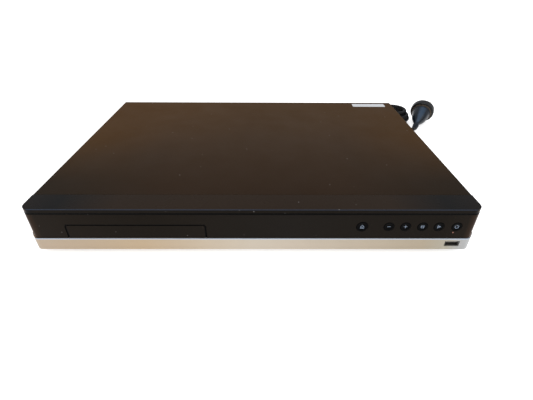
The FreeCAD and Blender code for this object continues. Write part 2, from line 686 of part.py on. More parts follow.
DRIVE_BASE = 73.0
DRIVE_FRONT = 22.0
DRIVE_BACK = 206.0
DRIVE_BASE_FRONT = 27.5
BASE_THICK = 1.0
WALL_IN = TRAY_WIDTH / 2 + SEAT
WALL_THICK = 2.5
WALL_TOP = 36.0
LEDGE_REACH = 6.0
HOOK_REACH = 4.0
SLIDER_FRONT = 43.6
SLIDER_BACK = 47.0
TRAVERSE_FRONT = 49.0
TRAVERSE_BACK = 198.0
TRAVERSE_HALF = 42.0
TRAVERSE_BOTTOM = 20.0
TRAVERSE_TOP = 24.0
HINGE_Y = 192.0
HINGE_Z = 22.0
HINGE_RADIUS = 2.0
TRAVERSE_TILT = 2.6
PEG_Y = 45.5
PEG_Z = 18.9
PEG_RADIUS = 1.2
PEG_DROP = (HINGE_Y - PEG_Y) * math.sin(math.radians(TRAVERSE_TILT))
SLIDE_TRAVEL = 24.0
WELL_FRONT = 80.0
WELL_BACK = 150.0
WELL_LEFT = 26.0
WELL_RIGHT = 34.0
ROD_X = 22.0
ROD_Z = 22.0
ROD_RADIUS = 1.5
SCREW_X = 29.5
SCREW_RADIUS = 2.0
FEED_MOTOR_RADIUS = 4.5
MOTOR_HALF = 5.0
SPINDLE_RADIUS = 13.0
SPINDLE_BOTTOM = 18.0
TURNTABLE_RADIUS = 14.0
TURNTABLE_TOP = 31.6
CONE_RADIUS = 7.4
CONE_TOP = 34.5
BRIDGE_THICK = 2.0
BRIDGE_HALF_DEPTH = 24.0
CLAMP_NECK = 9.0
CLAMP_RIM = 13.0
CLAMP_BOTTOM = 33.4
PICKUP_FRONT = 83.6
PICKUP_BACK = 113.0
PICKUP_HALF = 19.5
PICKUP_BOTTOM = 19.0
PICKUP_TOP = 26.4
LENS_Y = 92.0
LENS_RADIUS = 4.0
LENS_TOP = 30.0
BOSS_X = 70.0
BOSS_Y = (42.0, 196.0)
HOOK_Y = (26.0, 100.0)
HOOK_LENGTH = 12.0
HOOK_THICK = 2.0
BRACKET_HALF = 4.0
BRACKET_IN = TRAVERSE_HALF + 3.0
BRACKET_THICK = 3.0
FEED_PITCH = 3.0
FEED_MOTOR_FRONT = WELL_BACK + 2.0
FEED_MOTOR_BACK = WELL_BACK + 20.0
TRAY_FLOOR = TRAY_TOP - 2.6
TRAY_SLOT = 18.0


def in_drive(x0, x1, y0, y1, z0, z1):
    """A box placed across the drive, x measured from the middle of the drive."""
    return box(DRIVE_X + x0, DRIVE_X + x1, y0, y1, z0, z1)


def mirrored(x0, x1, y0, y1, z0, z1):
    return [in_drive(x0, x1, y0, y1, z0, z1), in_drive(-x1, -x0, y0, y1, z0, z1)]


def drive_frame():
    base_top = FLOOR_TOP + BASE_THICK
    ledge_top = TRAY_BOTTOM - SEAT
    hook_bottom = TRAY_TOP + SEAT
    wall_out = WALL_IN + WALL_THICK
    parts = [in_drive(-DRIVE_BASE, DRIVE_BASE, DRIVE_BASE_FRONT, DRIVE_BACK, FLOOR_TOP, base_top)]
    parts += mirrored(WALL_IN, wall_out, DRIVE_BASE_FRONT, DRIVE_BACK, FLOOR_TOP, WALL_TOP)
    parts += mirrored(WALL_IN, wall_out, DRIVE_FRONT, DRIVE_BASE_FRONT, DECK_BOTTOM, WALL_TOP)
    parts += mirrored(WALL_IN - LEDGE_REACH, WALL_IN, DRIVE_FRONT, DRIVE_BACK, ledge_top - 2.0, ledge_top)
    for y in HOOK_Y:
        parts += mirrored(WALL_IN - HOOK_REACH, WALL_IN, y, y + HOOK_LENGTH, hook_bottom,
                          hook_bottom + HOOK_THICK)
    parts.append(in_drive(-WALL_IN, WALL_IN, DRIVE_FRONT, SLIDER_FRONT - 1.0, DECK_BOTTOM, DECK_TOP))
    for x in (GEAR_X, PULLEY_X):
        parts.append(post(x, GEAR_Y, DECK_TOP, PINION_TOP, GEAR_POST_RADIUS))
    for y in BOSS_Y:
        for side in (-1, 1):
            parts.append(post(DRIVE_X + side * BOSS_X, y, base_top, base_top + 5.0, 2.6))
    parts += mirrored(BRACKET_IN, BRACKET_IN + BRACKET_THICK, HINGE_Y - BRACKET_HALF, HINGE_Y + BRACKET_HALF,
                      base_top, HINGE_Z + BRACKET_HALF)
    whole = join(parts)
    well = in_drive(-TRAVERSE_HALF - 2, TRAVERSE_HALF + 2, SLIDER_BACK + 1.0, TRAVERSE_BACK + 3.0,
                    FLOOR_TOP - CUT, base_top + CUT)
    motor_hole = post(MOTOR_X, GEAR_Y, FLOOR_TOP - CUT, base_top + CUT, LOADING_MOTOR_RADIUS + CUT)
    shaft_hole = post(MOTOR_X, GEAR_Y, DECK_BOTTOM - CUT, DECK_TOP + CUT, 1.5)
    pin_reach = BRACKET_IN + BRACKET_THICK + CUT
    pin_hole = rod_x(HINGE_Y, HINGE_Z, DRIVE_X - pin_reach, DRIVE_X + pin_reach, HINGE_RADIUS + RUN)
    return cut_all(whole, [well, motor_hole, shaft_hole, pin_hole])


def drive_bridge():
    half = WALL_IN + WALL_THICK
    front = SPINDLE_BACK - BRIDGE_HALF_DEPTH
    back = SPINDLE_BACK + BRIDGE_HALF_DEPTH
    plate = in_drive(-half, half, front, back, WALL_TOP, WALL_TOP + BRIDGE_THICK)
    ribs = [in_drive(-half, half, y, y + 1.5, WALL_TOP + BRIDGE_THICK, WALL_TOP + BRIDGE_THICK + 4)
            for y in (front, back - 1.5)]
    hole = post(DRIVE_X, SPINDLE_BACK, 0, TOP, CLAMP_NECK + SEAT)
    return join([plate] + ribs).cut(hole)


def clamper():
    bridge_top = WALL_TOP + BRIDGE_THICK
    lower = post(DRIVE_X, SPINDLE_BACK, CLAMP_BOTTOM, WALL_TOP - SEAT - 0.5, TURNTABLE_RADIUS)
    neck = post(DRIVE_X, SPINDLE_BACK, CLAMP_BOTTOM, bridge_top + SEAT + 1.5, CLAMP_NECK)
    rim = post(DRIVE_X, SPINDLE_BACK, bridge_top + SEAT, bridge_top + SEAT + 1.5, CLAMP_RIM)
    mark = post(DRIVE_X, SPINDLE_BACK + 9.5, bridge_top + SEAT + 1.0, bridge_top + SEAT + 2.5, 1.2)
    hollow = post(DRIVE_X, SPINDLE_BACK, CLAMP_BOTTOM - CUT, CONE_TOP + SEAT, CONE_RADIUS + 0.4)
    return join([lower, neck, rim]).cut(hollow).cut(mark)


def traverse_chassis():
    plate = in_drive(-TRAVERSE_HALF, TRAVERSE_HALF, TRAVERSE_FRONT, TRAVERSE_BACK, TRAVERSE_BOTTOM,
                     TRAVERSE_TOP)
    lug = in_drive(-4, 4, TRAVERSE_FRONT, TRAVERSE_FRONT + 3, PEG_Z - 2.4, TRAVERSE_BOTTOM)
    peg = rod_y(DRIVE_X, PEG_Z, SLIDER_FRONT + 0.7, TRAVERSE_FRONT, PEG_RADIUS)
    pin_reach = 5.5
    pins = rod_x(HINGE_Y, HINGE_Z, DRIVE_X - TRAVERSE_HALF - pin_reach, DRIVE_X + TRAVERSE_HALF + pin_reach,
                 HINGE_RADIUS)
    well = in_drive(-WELL_LEFT, WELL_RIGHT, WELL_FRONT, WELL_BACK, 0, TOP)
    motor_hole = post(DRIVE_X, SPINDLE_BACK, 0, TOP, SPINDLE_RADIUS + SEAT)
    feed_room = in_drive(SCREW_X - MOTOR_HALF, SCREW_X + MOTOR_HALF, WELL_BACK - CUT, FEED_MOTOR_BACK, 0, TOP)
    return cut_all(join([plate, lug, peg, pins]), [well, motor_hole, feed_room])


def spindle_motor():
    can = post(DRIVE_X, SPINDLE_BACK, SPINDLE_BOTTOM, TURNTABLE_TOP - 3.6, SPINDLE_RADIUS)
    flange = post(DRIVE_X, SPINDLE_BACK, TRAVERSE_TOP, TRAVERSE_TOP + 0.8, SPINDLE_RADIUS + 3.0)
    flange = flange.common(in_drive(-30, 30, 40, WELL_FRONT, 0, TOP))
    shaft = post(DRIVE_X, SPINDLE_BACK, TURNTABLE_TOP - 3.6, TURNTABLE_TOP, 1.0)
    return join([can, flange, shaft])


def turntable():
    plate = post(DRIVE_X, SPINDLE_BACK, TURNTABLE_TOP - 3.0, TURNTABLE_TOP, TURNTABLE_RADIUS)
    cone = Part.makeCone(CONE_RADIUS, CONE_RADIUS - 1.2, CONE_TOP - TURNTABLE_TOP,
                         V(DRIVE_X, SPINDLE_BACK, TURNTABLE_TOP))
    mark = post(DRIVE_X, SPINDLE_BACK + 3.5, CONE_TOP - 0.4, CONE_TOP + CUT, 1.0)
    bore = post(DRIVE_X, SPINDLE_BACK, TURNTABLE_TOP - 4, TURNTABLE_TOP + SEAT, 1.0 + RUN)
    return join([plate, cone]).cut(mark).cut(bore)


def guide_rods():
    rods = [rod_y(DRIVE_X + side * ROD_X, ROD_Z, WELL_FRONT, WELL_BACK, ROD_RADIUS) for side in (-1, 1)]
    return Part.makeCompound(rods)


def feed_screw():
    """A threaded spindle, its thread drawn as rings at the pitch of the thread."""
    x = DRIVE_X + SCREW_X
    parts = [rod_y(x, ROD_Z, WELL_FRONT, FEED_MOTOR_FRONT - SEAT, SCREW_RADIUS - 0.5)]
    count = int((WELL_BACK - WELL_FRONT) / FEED_PITCH) - 2
    for i in range(count):
        y = WELL_FRONT + (i + 1) * FEED_PITCH
        parts.append(rod_y(x, ROD_Z, y, y + FEED_PITCH / 2, SCREW_RADIUS))
    flat = box(x + SCREW_RADIUS - 0.4, x + SCREW_RADIUS + 1, WELL_FRONT - CUT, WELL_BACK + CUT, 0, TOP)
    return join(parts).cut(flat)


def feed_motor():
    return rod_y(DRIVE_X + SCREW_X, ROD_Z, FEED_MOTOR_FRONT, FEED_MOTOR_BACK, FEED_MOTOR_RADIUS)


def optical_pickup():
    body = in_drive(-PICKUP_HALF, PICKUP_HALF, PICKUP_FRONT, PICKUP_BACK, PICKUP_BOTTOM, PICKUP_TOP)
    arms = mirrored(PICKUP_HALF, ROD_X + 2.8, PICKUP_FRONT + 8, PICKUP_FRONT + 22, ROD_Z - 2.8, ROD_Z + 2.8)
    nut = in_drive(ROD_X, SCREW_X - SCREW_RADIUS - SEAT, PICKUP_FRONT + 11, PICKUP_FRONT + 19,
                   ROD_Z - 1.2, ROD_Z + 1.2)
    seat = post(DRIVE_X, LENS_Y, PICKUP_TOP, LENS_TOP - 1.6, LENS_RADIUS)
    rod_holes = [rod_y(DRIVE_X + side * ROD_X, ROD_Z, 0, DEPTH, ROD_RADIUS + RUN) for side in (-1, 1)]
    return cut_all(join([body] + arms + [nut, seat]), rod_holes)


def pickup_lens():
    rim = post(DRIVE_X, LENS_Y, LENS_TOP - 1.6, LENS_TOP - 0.6, LENS_RADIUS)
    ball = (2.6 ** 2 + 0.6 ** 2) / (2 * 0.6)
    dome = Part.makeSphere(ball, V(DRIVE_X, LENS_Y, LENS_TOP - ball))
    dome = dome.common(box(DRIVE_X - 5, DRIVE_X + 5, LENS_Y - 5, LENS_Y + 5, LENS_TOP - 0.6, LENS_TOP))
    return join([rim, dome])


def cam_slider():
    """A plate with a sloping slot. The peg of the traverse sits at the high end while the tray is shut."""
    half = PEG_RADIUS + 0.5
    end = 4.0
    left = DRIVE_X - SLIDE_TRAVEL - end - half
    right = DRIVE_X + end + half
    top = DECK_TOP
    bottom = FLOOR_TOP + BASE_THICK + SEAT
    plate = box(left, right, SLIDER_FRONT, SLIDER_BACK, bottom, top)
    low = PEG_Z - PEG_DROP
    slot = [(DRIVE_X + half, PEG_Z + half, 0), (DRIVE_X - half, PEG_Z + half, 0),
            (DRIVE_X - SLIDE_TRAVEL - half, low + half, 0), (DRIVE_X - SLIDE_TRAVEL - half, low - half, 0),
            (DRIVE_X - SLIDE_TRAVEL + half, low - half, 0), (DRIVE_X + half, PEG_Z - half, 0)]
    return plate.cut(prism_y(slot, SLIDER_FRONT - CUT, SLIDER_BACK + CUT))


def disc_tray():
    front = TRAY_FRONT
    back = front + TRAY_LENGTH
    plate = [(DRIVE_X - TRAY_WIDTH / 2, front, 0), (DRIVE_X + TRAY_WIDTH / 2, front, 0),
             (DRIVE_X + TRAY_WIDTH / 2, back, 3.0), (DRIVE_X - TRAY_WIDTH / 2, back, 3.0)]
    body = prism_z(plate, TRAY_BOTTOM, TRAY_TOP)
    disc_room = post(DRIVE_X, SPINDLE_BACK, TRAY_FLOOR, TOP, DISC_RADIUS + 0.5)
    small_room = post(DRIVE_X, SPINDLE_BACK, TRAY_FLOOR - 0.8, TOP, SMALL_DISC_RADIUS + 0.8)
    hub_hole = post(DRIVE_X, SPINDLE_BACK, 0, TOP, TRAY_SLOT)
    slot = in_drive(-TRAY_SLOT, TRAY_SLOT, SPINDLE_BACK, back + CUT, 0, TOP)
    whole = cut_all(body, [disc_room, small_room, hub_hole, slot])
    strip = rack(GEAR_Y - 5, GEAR_Y + TRAY_TRAVEL + 7, TRAY_BOTTOM - RACK_DEPTH, TRAY_BOTTOM)
    return join([whole, strip])


def tray_door():
    left = DRIVE_X - DOOR_WIDTH / 2
    right = DRIVE_X + DOOR_WIDTH / 2
    return prism_y([(left, DOOR_BOTTOM, 0.5), (right, DOOR_BOTTOM, 0.5), (right, DOOR_TOP, DOOR_CORNER),
                    (left, DOOR_TOP, DOOR_CORNER)], PANEL_INSET, TRAY_FRONT)


# Rear

FAN_Z = 29.0
FAN_BACK = REAR_SHEET_FRONT - SEAT
FAN_FRONT = FAN_BACK - FAN_THICK
FAN_BORE = 18.5
FAN_TIP = 17.6
FAN_HUB = 9.0
FAN_BLADES = 7
GRILLE_SLOT = 2.6
GRILLE_PITCH = 4.6
INLET_HALF = 12.0
INLET_HALF_HEIGHT = 9.0
INLET_DEPTH = 12.0
INLET_FACE = DEPTH + 0.5
INLET_LOBE = 4.2
INLET_LOBE_RADIUS = 4.3
INLET_PIN = 1.2
TERMINAL_POCKETS = 5
TERMINAL_HALF = TERMINAL_PITCH * TERMINAL_POCKETS / 2 + 1.5
TERMINAL_FACE = DEPTH + 1.0
POCKET_WIDTH = 8.4
POCKET_HEIGHT = 12.0
POCKET_DEPTH = 10.0
SOCKET_TOP = 34.0
JACK_TIP = DEPTH + JACK_REACH
ANTENNA_CUP = 4.1
ANTENNA_CUP_DEPTH = 8.0
ANTENNA_PIN = 1.15
HDMI_HALF = 7.5
HDMI_HEIGHT = 5.6
LAN_HALF = 8.0
LAN_HEIGHT = 13.5
LAN_OPENING_HALF = 5.9
LAN_OPENING_BOTTOM = BOARD_TOP + 2.0
LAN_OPENING_HEIGHT = 8.5
LAN_DEPTH = 12.0
RCA_BODY_HALF = 6.6
FAN_HUB_THICK = 3.5
INLET_BODY_DEPTH = 19.0
TERMINAL_DEPTH = 18.0


def window(x0, x1, z0, z1):
    return box(x0, x1, REAR_SHEET_FRONT - CUT, PANEL_REAR + CUT, z0, z1)


def rear_panel():
    half = CHASSIS_HALF - SEAT
    sheet = box(-half, half, REAR_SHEET_FRONT, PANEL_REAR, FLOOR_TOP, COVER_TOP - SHEET - SEAT)
    back0 = REAR_SHEET_FRONT - CUT
    back1 = PANEL_REAR + CUT
    tools = [window(INLET_X - INLET_HALF - SEAT, INLET_X + INLET_HALF + SEAT,
                    SOCKET_Z - INLET_HALF_HEIGHT - SEAT, SOCKET_Z + INLET_HALF_HEIGHT + SEAT),
             window(TERMINAL_X - TERMINAL_HALF - SEAT, TERMINAL_X + TERMINAL_HALF + SEAT,
                    BOARD_TOP - SEAT, SOCKET_TOP + SEAT),
             window(HDMI_X - HDMI_HALF - SEAT, HDMI_X + HDMI_HALF + SEAT,
                    BOARD_TOP - SEAT, BOARD_TOP + HDMI_HEIGHT + SEAT),
             window(LAN_X - LAN_HALF - SEAT, LAN_X + LAN_HALF + SEAT,
                    BOARD_TOP - SEAT, BOARD_TOP + LAN_HEIGHT + SEAT),
             rod_y(ANTENNA_X, SOCKET_Z, back0, back1, ANTENNA_COLLAR + SEAT)]
    for x in RCA_X:
        tools.append(rod_y(x, SOCKET_Z, back0, back1, RCA_COLLAR + SEAT))
    for x in REAR_TAB_X:
        tools.append(rod_y(x, REAR_SCREW_Z, back0, back1, SCREW_HOLE))
    reach = FAN_BORE - CUT
    rows = int(reach / GRILLE_PITCH)
    for i in range(-rows, rows + 1):
        rise = i * GRILLE_PITCH
        chord = math.sqrt(reach ** 2 - rise ** 2)
        tools.append(window(FAN_X - chord, FAN_X + chord, FAN_Z + rise - GRILLE_SLOT / 2,
                            FAN_Z + rise + GRILLE_SLOT / 2))
    return cut_all(sheet, tools)


def fan_frame():
    half = FAN_SIZE / 2
    outline_points = [(FAN_X - half, FAN_Z - half, 3.0), (FAN_X + half, FAN_Z - half, 3.0),
                      (FAN_X + half, FAN_Z + half, 3.0), (FAN_X - half, FAN_Z + half, 3.0)]
    block = prism_y(outline_points, FAN_FRONT, FAN_BACK)
    bore = rod_y(FAN_X, FAN_Z, FAN_FRONT - CUT, FAN_BACK + CUT, FAN_BORE)
    hub_front = FAN_BACK - FAN_HUB_THICK
    hub = rod_y(FAN_X, FAN_Z, hub_front, FAN_BACK, FAN_HUB)
    parts = [block.cut(bore), hub]
    for k in range(3):
        spoke = box(FAN_X - 1.2, FAN_X + 1.2, hub_front, FAN_BACK, FAN_Z, FAN_Z + FAN_BORE + 0.8)
        spoke.rotate(V(FAN_X, 0, FAN_Z), V(0, 1, 0), k * 120)
        parts.append(spoke)
    socket = rod_y(FAN_X, FAN_Z, hub_front - CUT, FAN_BACK - 1.0, 1.0 + RUN)
    return join(parts).cut(socket)


def fan_rotor():
    hub_back = FAN_BACK - FAN_HUB_THICK - SEAT
    hub_front = FAN_FRONT + 2.0
    hub = rod_y(FAN_X, FAN_Z, hub_front, hub_back, FAN_HUB + 0.5)
    shaft = rod_y(FAN_X, FAN_Z, hub_back, FAN_BACK - 1.5, 1.0)
    parts = [hub, shaft]
    limit = rod_y(FAN_X, FAN_Z, hub_front, hub_back, FAN_TIP)
    middle = (hub_front + hub_back) / 2
    for k in range(FAN_BLADES):
        blade = box(FAN_X - 0.6, FAN_X + 0.6, middle - 7.0, middle + 7.0, FAN_Z + FAN_HUB - 0.5,
                    FAN_Z + FAN_TIP)
        blade.rotate(V(FAN_X, middle, FAN_Z), V(0, 0, 1), 38)
        blade.rotate(V(FAN_X, 0, FAN_Z), V(0, 1, 0), k * 360 / FAN_BLADES)
        parts.append(blade.common(limit))
    return join(parts)


def figure_eight(radius, lobe, y0, y1):
    left = rod_y(INLET_X - lobe, SOCKET_Z, y0, y1, radius)
    right = rod_y(INLET_X + lobe, SOCKET_Z, y0, y1, radius)
    bridge = box(INLET_X - lobe, INLET_X + lobe, y0, y1, SOCKET_Z - radius * 0.6, SOCKET_Z + radius * 0.6)
    return join([left, right, bridge])


def ac_inlet():
    body = box(INLET_X - INLET_HALF, INLET_X + INLET_HALF, INLET_FACE - INLET_BODY_DEPTH, INLET_FACE,
               SOCKET_Z - INLET_HALF_HEIGHT, SOCKET_Z + INLET_HALF_HEIGHT)
    rim = front_window(INLET_X - INLET_HALF - 2, INLET_X + INLET_HALF + 2,
                       SOCKET_Z - INLET_HALF_HEIGHT - 1.3, SOCKET_Z + INLET_HALF_HEIGHT + 1.3,
                       2.0, PANEL_REAR, INLET_FACE)
    pocket = figure_eight(INLET_LOBE_RADIUS, INLET_LOBE, INLET_FACE - INLET_DEPTH, INLET_FACE + CUT)
    shell = join([body, rim]).cut(pocket)
    pins = [rod_y(INLET_X + side * INLET_LOBE, SOCKET_Z, INLET_FACE - INLET_DEPTH, INLET_FACE - 2.0,
                  INLET_PIN)
            for side in (-1, 1)]
    return join([shell] + pins)


def speaker_terminals():
    half = TERMINAL_HALF
    block = box(TERMINAL_X - half, TERMINAL_X + half, TERMINAL_FACE - TERMINAL_DEPTH, TERMINAL_FACE,
                BOARD_TOP, SOCKET_TOP)
    rim = box(TERMINAL_X - half - 1.5, TERMINAL_X + half + 1.5, PANEL_REAR, TERMINAL_FACE,
              BOARD_TOP - 1.5, SOCKET_TOP + 1.5)
    tools = []
    for k in range(TERMINAL_POCKETS):
        x = TERMINAL_X + (k - (TERMINAL_POCKETS - 1) / 2) * TERMINAL_PITCH
        z0 = SOCKET_Z - POCKET_HEIGHT / 2
        tools.append(box(x - POCKET_WIDTH / 2, x + POCKET_WIDTH / 2, TERMINAL_FACE - POCKET_DEPTH,
                         TERMINAL_FACE + CUT, z0, z0 + POCKET_HEIGHT))
        for side in (-1, 1):
            tools.append(box(x - 2.2, x + 2.2, TERMINAL_FACE - POCKET_DEPTH - 2, TERMINAL_FACE,
                             SOCKET_Z + side * 3 - 0.5, SOCKET_Z + side * 3 + 0.5))
    return cut_all(join([block, rim]), tools)


def rca_socket(x):
    body = box(x - RCA_BODY_HALF, x + RCA_BODY_HALF, REAR_SHEET_FRONT - 13, REAR_SHEET_FRONT, BOARD_TOP,
               SOCKET_TOP)
    collar = rod_y(x, SOCKET_Z, REAR_SHEET_FRONT, COLLAR_FACE, RCA_COLLAR)
    barrel = rod_y(x, SOCKET_Z, COLLAR_FACE, JACK_TIP, RCA_RADIUS)
    bore = rod_y(x, SOCKET_Z, JACK_TIP - RCA_BORE_DEPTH, JACK_TIP + CUT, RCA_BORE)
    return join([body, collar, barrel]).cut(bore)


def rca_sockets():
    return Part.makeCompound([rca_socket(x) for x in RCA_X])


def antenna_socket():
    body = box(ANTENNA_X - 8, ANTENNA_X + 8, REAR_SHEET_FRONT - 11, REAR_SHEET_FRONT, BOARD_TOP, SOCKET_TOP)
    collar = rod_y(ANTENNA_X, SOCKET_Z, REAR_SHEET_FRONT, COLLAR_FACE, ANTENNA_COLLAR)
    barrel = rod_y(ANTENNA_X, SOCKET_Z, COLLAR_FACE, JACK_TIP, ANTENNA_RADIUS)
    cup = rod_y(ANTENNA_X, SOCKET_Z, JACK_TIP - ANTENNA_CUP_DEPTH, JACK_TIP + CUT, ANTENNA_CUP)
    pin = rod_y(ANTENNA_X, SOCKET_Z, JACK_TIP - ANTENNA_CUP_DEPTH, JACK_TIP - 1.0, ANTENNA_PIN)
    return join([join([body, collar, barrel]).cut(cup), pin])


def hdmi_socket():
    top = BOARD_TOP + HDMI_HEIGHT
    wall = 0.5
    shell = box(HDMI_X - HDMI_HALF, HDMI_X + HDMI_HALF, DEPTH - 13, DEPTH, BOARD_TOP, top)
    room = box(HDMI_X - HDMI_HALF + wall, HDMI_X + HDMI_HALF - wall, DEPTH - 12, DEPTH + CUT,
               BOARD_TOP + wall, top - wall)
    middle = BOARD_TOP + HDMI_HEIGHT / 2
    tongue = box(HDMI_X - 5.5, HDMI_X + 5.5, DEPTH - 12.5, DEPTH - 1.5, middle - 0.6, middle + 0.6)
    return join([shell.cut(room), tongue])


def lan_socket():
    face = DEPTH + 0.3
    block = box(LAN_X - LAN_HALF, LAN_X + LAN_HALF, face - 21, face, BOARD_TOP, BOARD_TOP + LAN_HEIGHT)
    z0 = LAN_OPENING_BOTTOM
    room = box(LAN_X - LAN_OPENING_HALF, LAN_X + LAN_OPENING_HALF, face - LAN_DEPTH, face + CUT,
               z0, z0 + LAN_OPENING_HEIGHT)
    latch = box(LAN_X - 3, LAN_X + 3, face - LAN_DEPTH, face + CUT, z0, z0 + LAN_OPENING_HEIGHT + 1.6)
    return cut_all(block, [room, latch])


# Boards

CHIPS = ((0.14, 0.56, 10.0, 6.0), (0.30, 0.30, 16.0, 1.8), (0.48, 0.56, 12.0, 1.4), (0.67, 0.42, 24.0, 2.2),
         (0.85, 0.30, 14.0, 1.4))
CAPACITOR_PLACES = ((0.154, 0.474, 9.0, 28.0), (0.302, 0.505, 9.0, 28.0), (0.758, 0.737, 6.0, 20.0),
                    (0.866, 0.737, 6.0, 20.0), (0.154, 0.642, 5.0, 16.0))
TRANSFORMER_X = POWER_LEFT + 45.0
TRANSFORMER_Y = POWER_FRONT + 40.0
CORE_HALF = 18.0
CORE_HALF_DEPTH = 15.0
CORE_LIMB = 6.0
CORE_TOP = 44.0
SINK_X = POWER_LEFT + 101.0
SINK_Y = POWER_FRONT + 65.0
SINK_HALF = 24.0
SINK_HALF_DEPTH = 20.0
SINK_TOP = 46.0
SINK_BASE = 4.0
FIN_COUNT = 9
FIN_HALF = 0.8
FLAT_CABLE = 0.6
FLAT_CABLE_LEFT = BOARD_LEFT + 11.0
FLAT_CABLE_RIGHT = BOARD_LEFT + 25.0
WIRE_RADIUS = 1.2
WIRE_COUNT = 4
WIRE_PITCH = 4.0
WIRE_Y = 228.0


def on_board(left, right, front, across, along):
    """A place on a board, given as shares of its width and its depth."""
    return left + across * (right - left), front + along * (BOARD_BACK - front)


def main_board():
    parts = [box(MAIN_LEFT, MAIN_RIGHT, MAIN_FRONT, BOARD_BACK, BOARD_Z, BOARD_TOP)]
    for across, along, size, height in CHIPS:
        x, y = on_board(MAIN_LEFT, MAIN_RIGHT, MAIN_FRONT, across, along)
        parts.append(box(x - size / 2, x + size / 2, y - size / 2, y + size / 2, BOARD_TOP,
                         BOARD_TOP + height))
    return join(parts)


def power_board():
    return box(POWER_LEFT, POWER_RIGHT, POWER_FRONT, BOARD_BACK, BOARD_Z, BOARD_TOP)


def transformer():
    core = box(TRANSFORMER_X - CORE_HALF, TRANSFORMER_X + CORE_HALF, TRANSFORMER_Y - CORE_HALF_DEPTH,
               TRANSFORMER_Y + CORE_HALF_DEPTH, BOARD_TOP, CORE_TOP)
    inner = CORE_HALF - CORE_LIMB
    slots = []
    for side in (-1, 1):
        y = TRANSFORMER_Y + side * CORE_HALF_DEPTH
        slots.append(box(TRANSFORMER_X - inner, TRANSFORMER_X + inner, y - 4, y + 4, BOARD_TOP + 5,
                         CORE_TOP - 5))
    coil = box(TRANSFORMER_X - inner + 0.5, TRANSFORMER_X + inner - 0.5, TRANSFORMER_Y - CORE_HALF_DEPTH + 1,
               TRANSFORMER_Y + CORE_HALF_DEPTH - 1, BOARD_TOP + 5.5, CORE_TOP - 5.5)
    return join([cut_all(core, slots), coil])


def capacitors():
    cans = []
    for across, along, radius, height in CAPACITOR_PLACES:
        x, y = on_board(POWER_LEFT, POWER_RIGHT, POWER_FRONT, across, along)
        cans.append(post(x, y, BOARD_TOP, BOARD_TOP + height, radius))
    return Part.makeCompound(cans)


def heat_sink():
    front = SINK_Y - SINK_HALF_DEPTH
    back = SINK_Y + SINK_HALF_DEPTH
    parts = [box(SINK_X - SINK_HALF, SINK_X + SINK_HALF, front, back, BOARD_TOP, BOARD_TOP + SINK_BASE)]
    first = SINK_X - SINK_HALF + FIN_HALF
    pitch = 2 * (SINK_HALF - FIN_HALF) / (FIN_COUNT - 1)
    for i in range(FIN_COUNT):
        x = first + i * pitch
        parts.append(box(x - FIN_HALF, x + FIN_HALF, front, back, BOARD_TOP, SINK_TOP))
    return join(parts)


def inner_cables():
    """Flat cables from the drive and the front board, and four wires between the boards."""
    drive_y = MAIN_FRONT + 6
    drive_level = 30.0
    drive_flat = join([in_drive(10, 40, drive_y, drive_y + FLAT_CABLE, BOARD_TOP, drive_level),
                       in_drive(10, 40, DRIVE_BACK + SEAT, drive_y + FLAT_CABLE, drive_level - FLAT_CABLE,
                                drive_level)])
    front_y = MAIN_FRONT + 4
    front_level = 26.0
    front_flat = join([box(FLAT_CABLE_LEFT, FLAT_CABLE_RIGHT, front_y, front_y + FLAT_CABLE, BOARD_TOP,
                           front_level),
                       box(FLAT_CABLE_LEFT, FLAT_CABLE_RIGHT, BOARD_FRONT + BOARD_THICK, front_y + FLAT_CABLE,
                           front_level - FLAT_CABLE, front_level)])
    pieces = [drive_flat, front_flat]
    left = MAIN_RIGHT - 4
    right = POWER_LEFT + 4
    for k in range(WIRE_COUNT):
        y = WIRE_Y + WIRE_PITCH * k
        points = ((left, y, BOARD_TOP), (left, y, SOCKET_Z), (right, y, SOCKET_Z), (right, y, BOARD_TOP))
        pieces.append(tube(cord_route(points)[0], WIRE_RADIUS))
    return Part.makeCompound(pieces)


# Cord routes

LEAD_FROM_CORNER = ((-186.0, 26.4, 25.0), (-186.0, 46.4, 25.0), (-174.2, 71.7, 14.5), (-148.9, 83.5, 3.0),
                    (-119.0, 73.4, 3.0), (-106.0, 47.0, 4.0), (-86.0, 29.8, 4.5), (-60.0, 29.8, 4.5))
TAIL_FROM_CORNER = ((-54.0, 22.6, 23.7), (-37.0, 22.6, 23.7), (-21.5, 18.8, 18.3), (-3.0, 11.5, 7.5),
                    (19.7, 4.5, 3.3), (32.6, 2.9, 3.0), (44.5, 5.75, 3.3), (54.5, 12.2, 4.3))


def from_corner(points):
    """Places given from the rear right corner of the cabinet, at floor level."""
    return [(WIDTH / 2 + x, DEPTH + y, z) for x, y, z in points]


LEAD_POINTS = from_corner(LEAD_FROM_CORNER)
TAIL_POINTS = from_corner(TAIL_FROM_CORNER)


def arc_between(start, corner, end):
    """The arc that leaves start towards corner and arrives at end from corner, both equally far from it."""
    back = (start - corner).normalize()
    ahead = (end - corner).normalize()
    half = math.acos(max(-1.0, min(1.0, back.dot(ahead)))) / 2
    if math.pi / 2 - half < 1e-6:
        return Part.makeLine(start, end)
    bisector = (back + ahead).normalize()
    setback = (start - corner).Length
    radius = setback * math.tan(half)
    middle = corner + bisector * (setback / math.cos(half) - radius)
    return Part.Arc(start, middle, end).toShape()


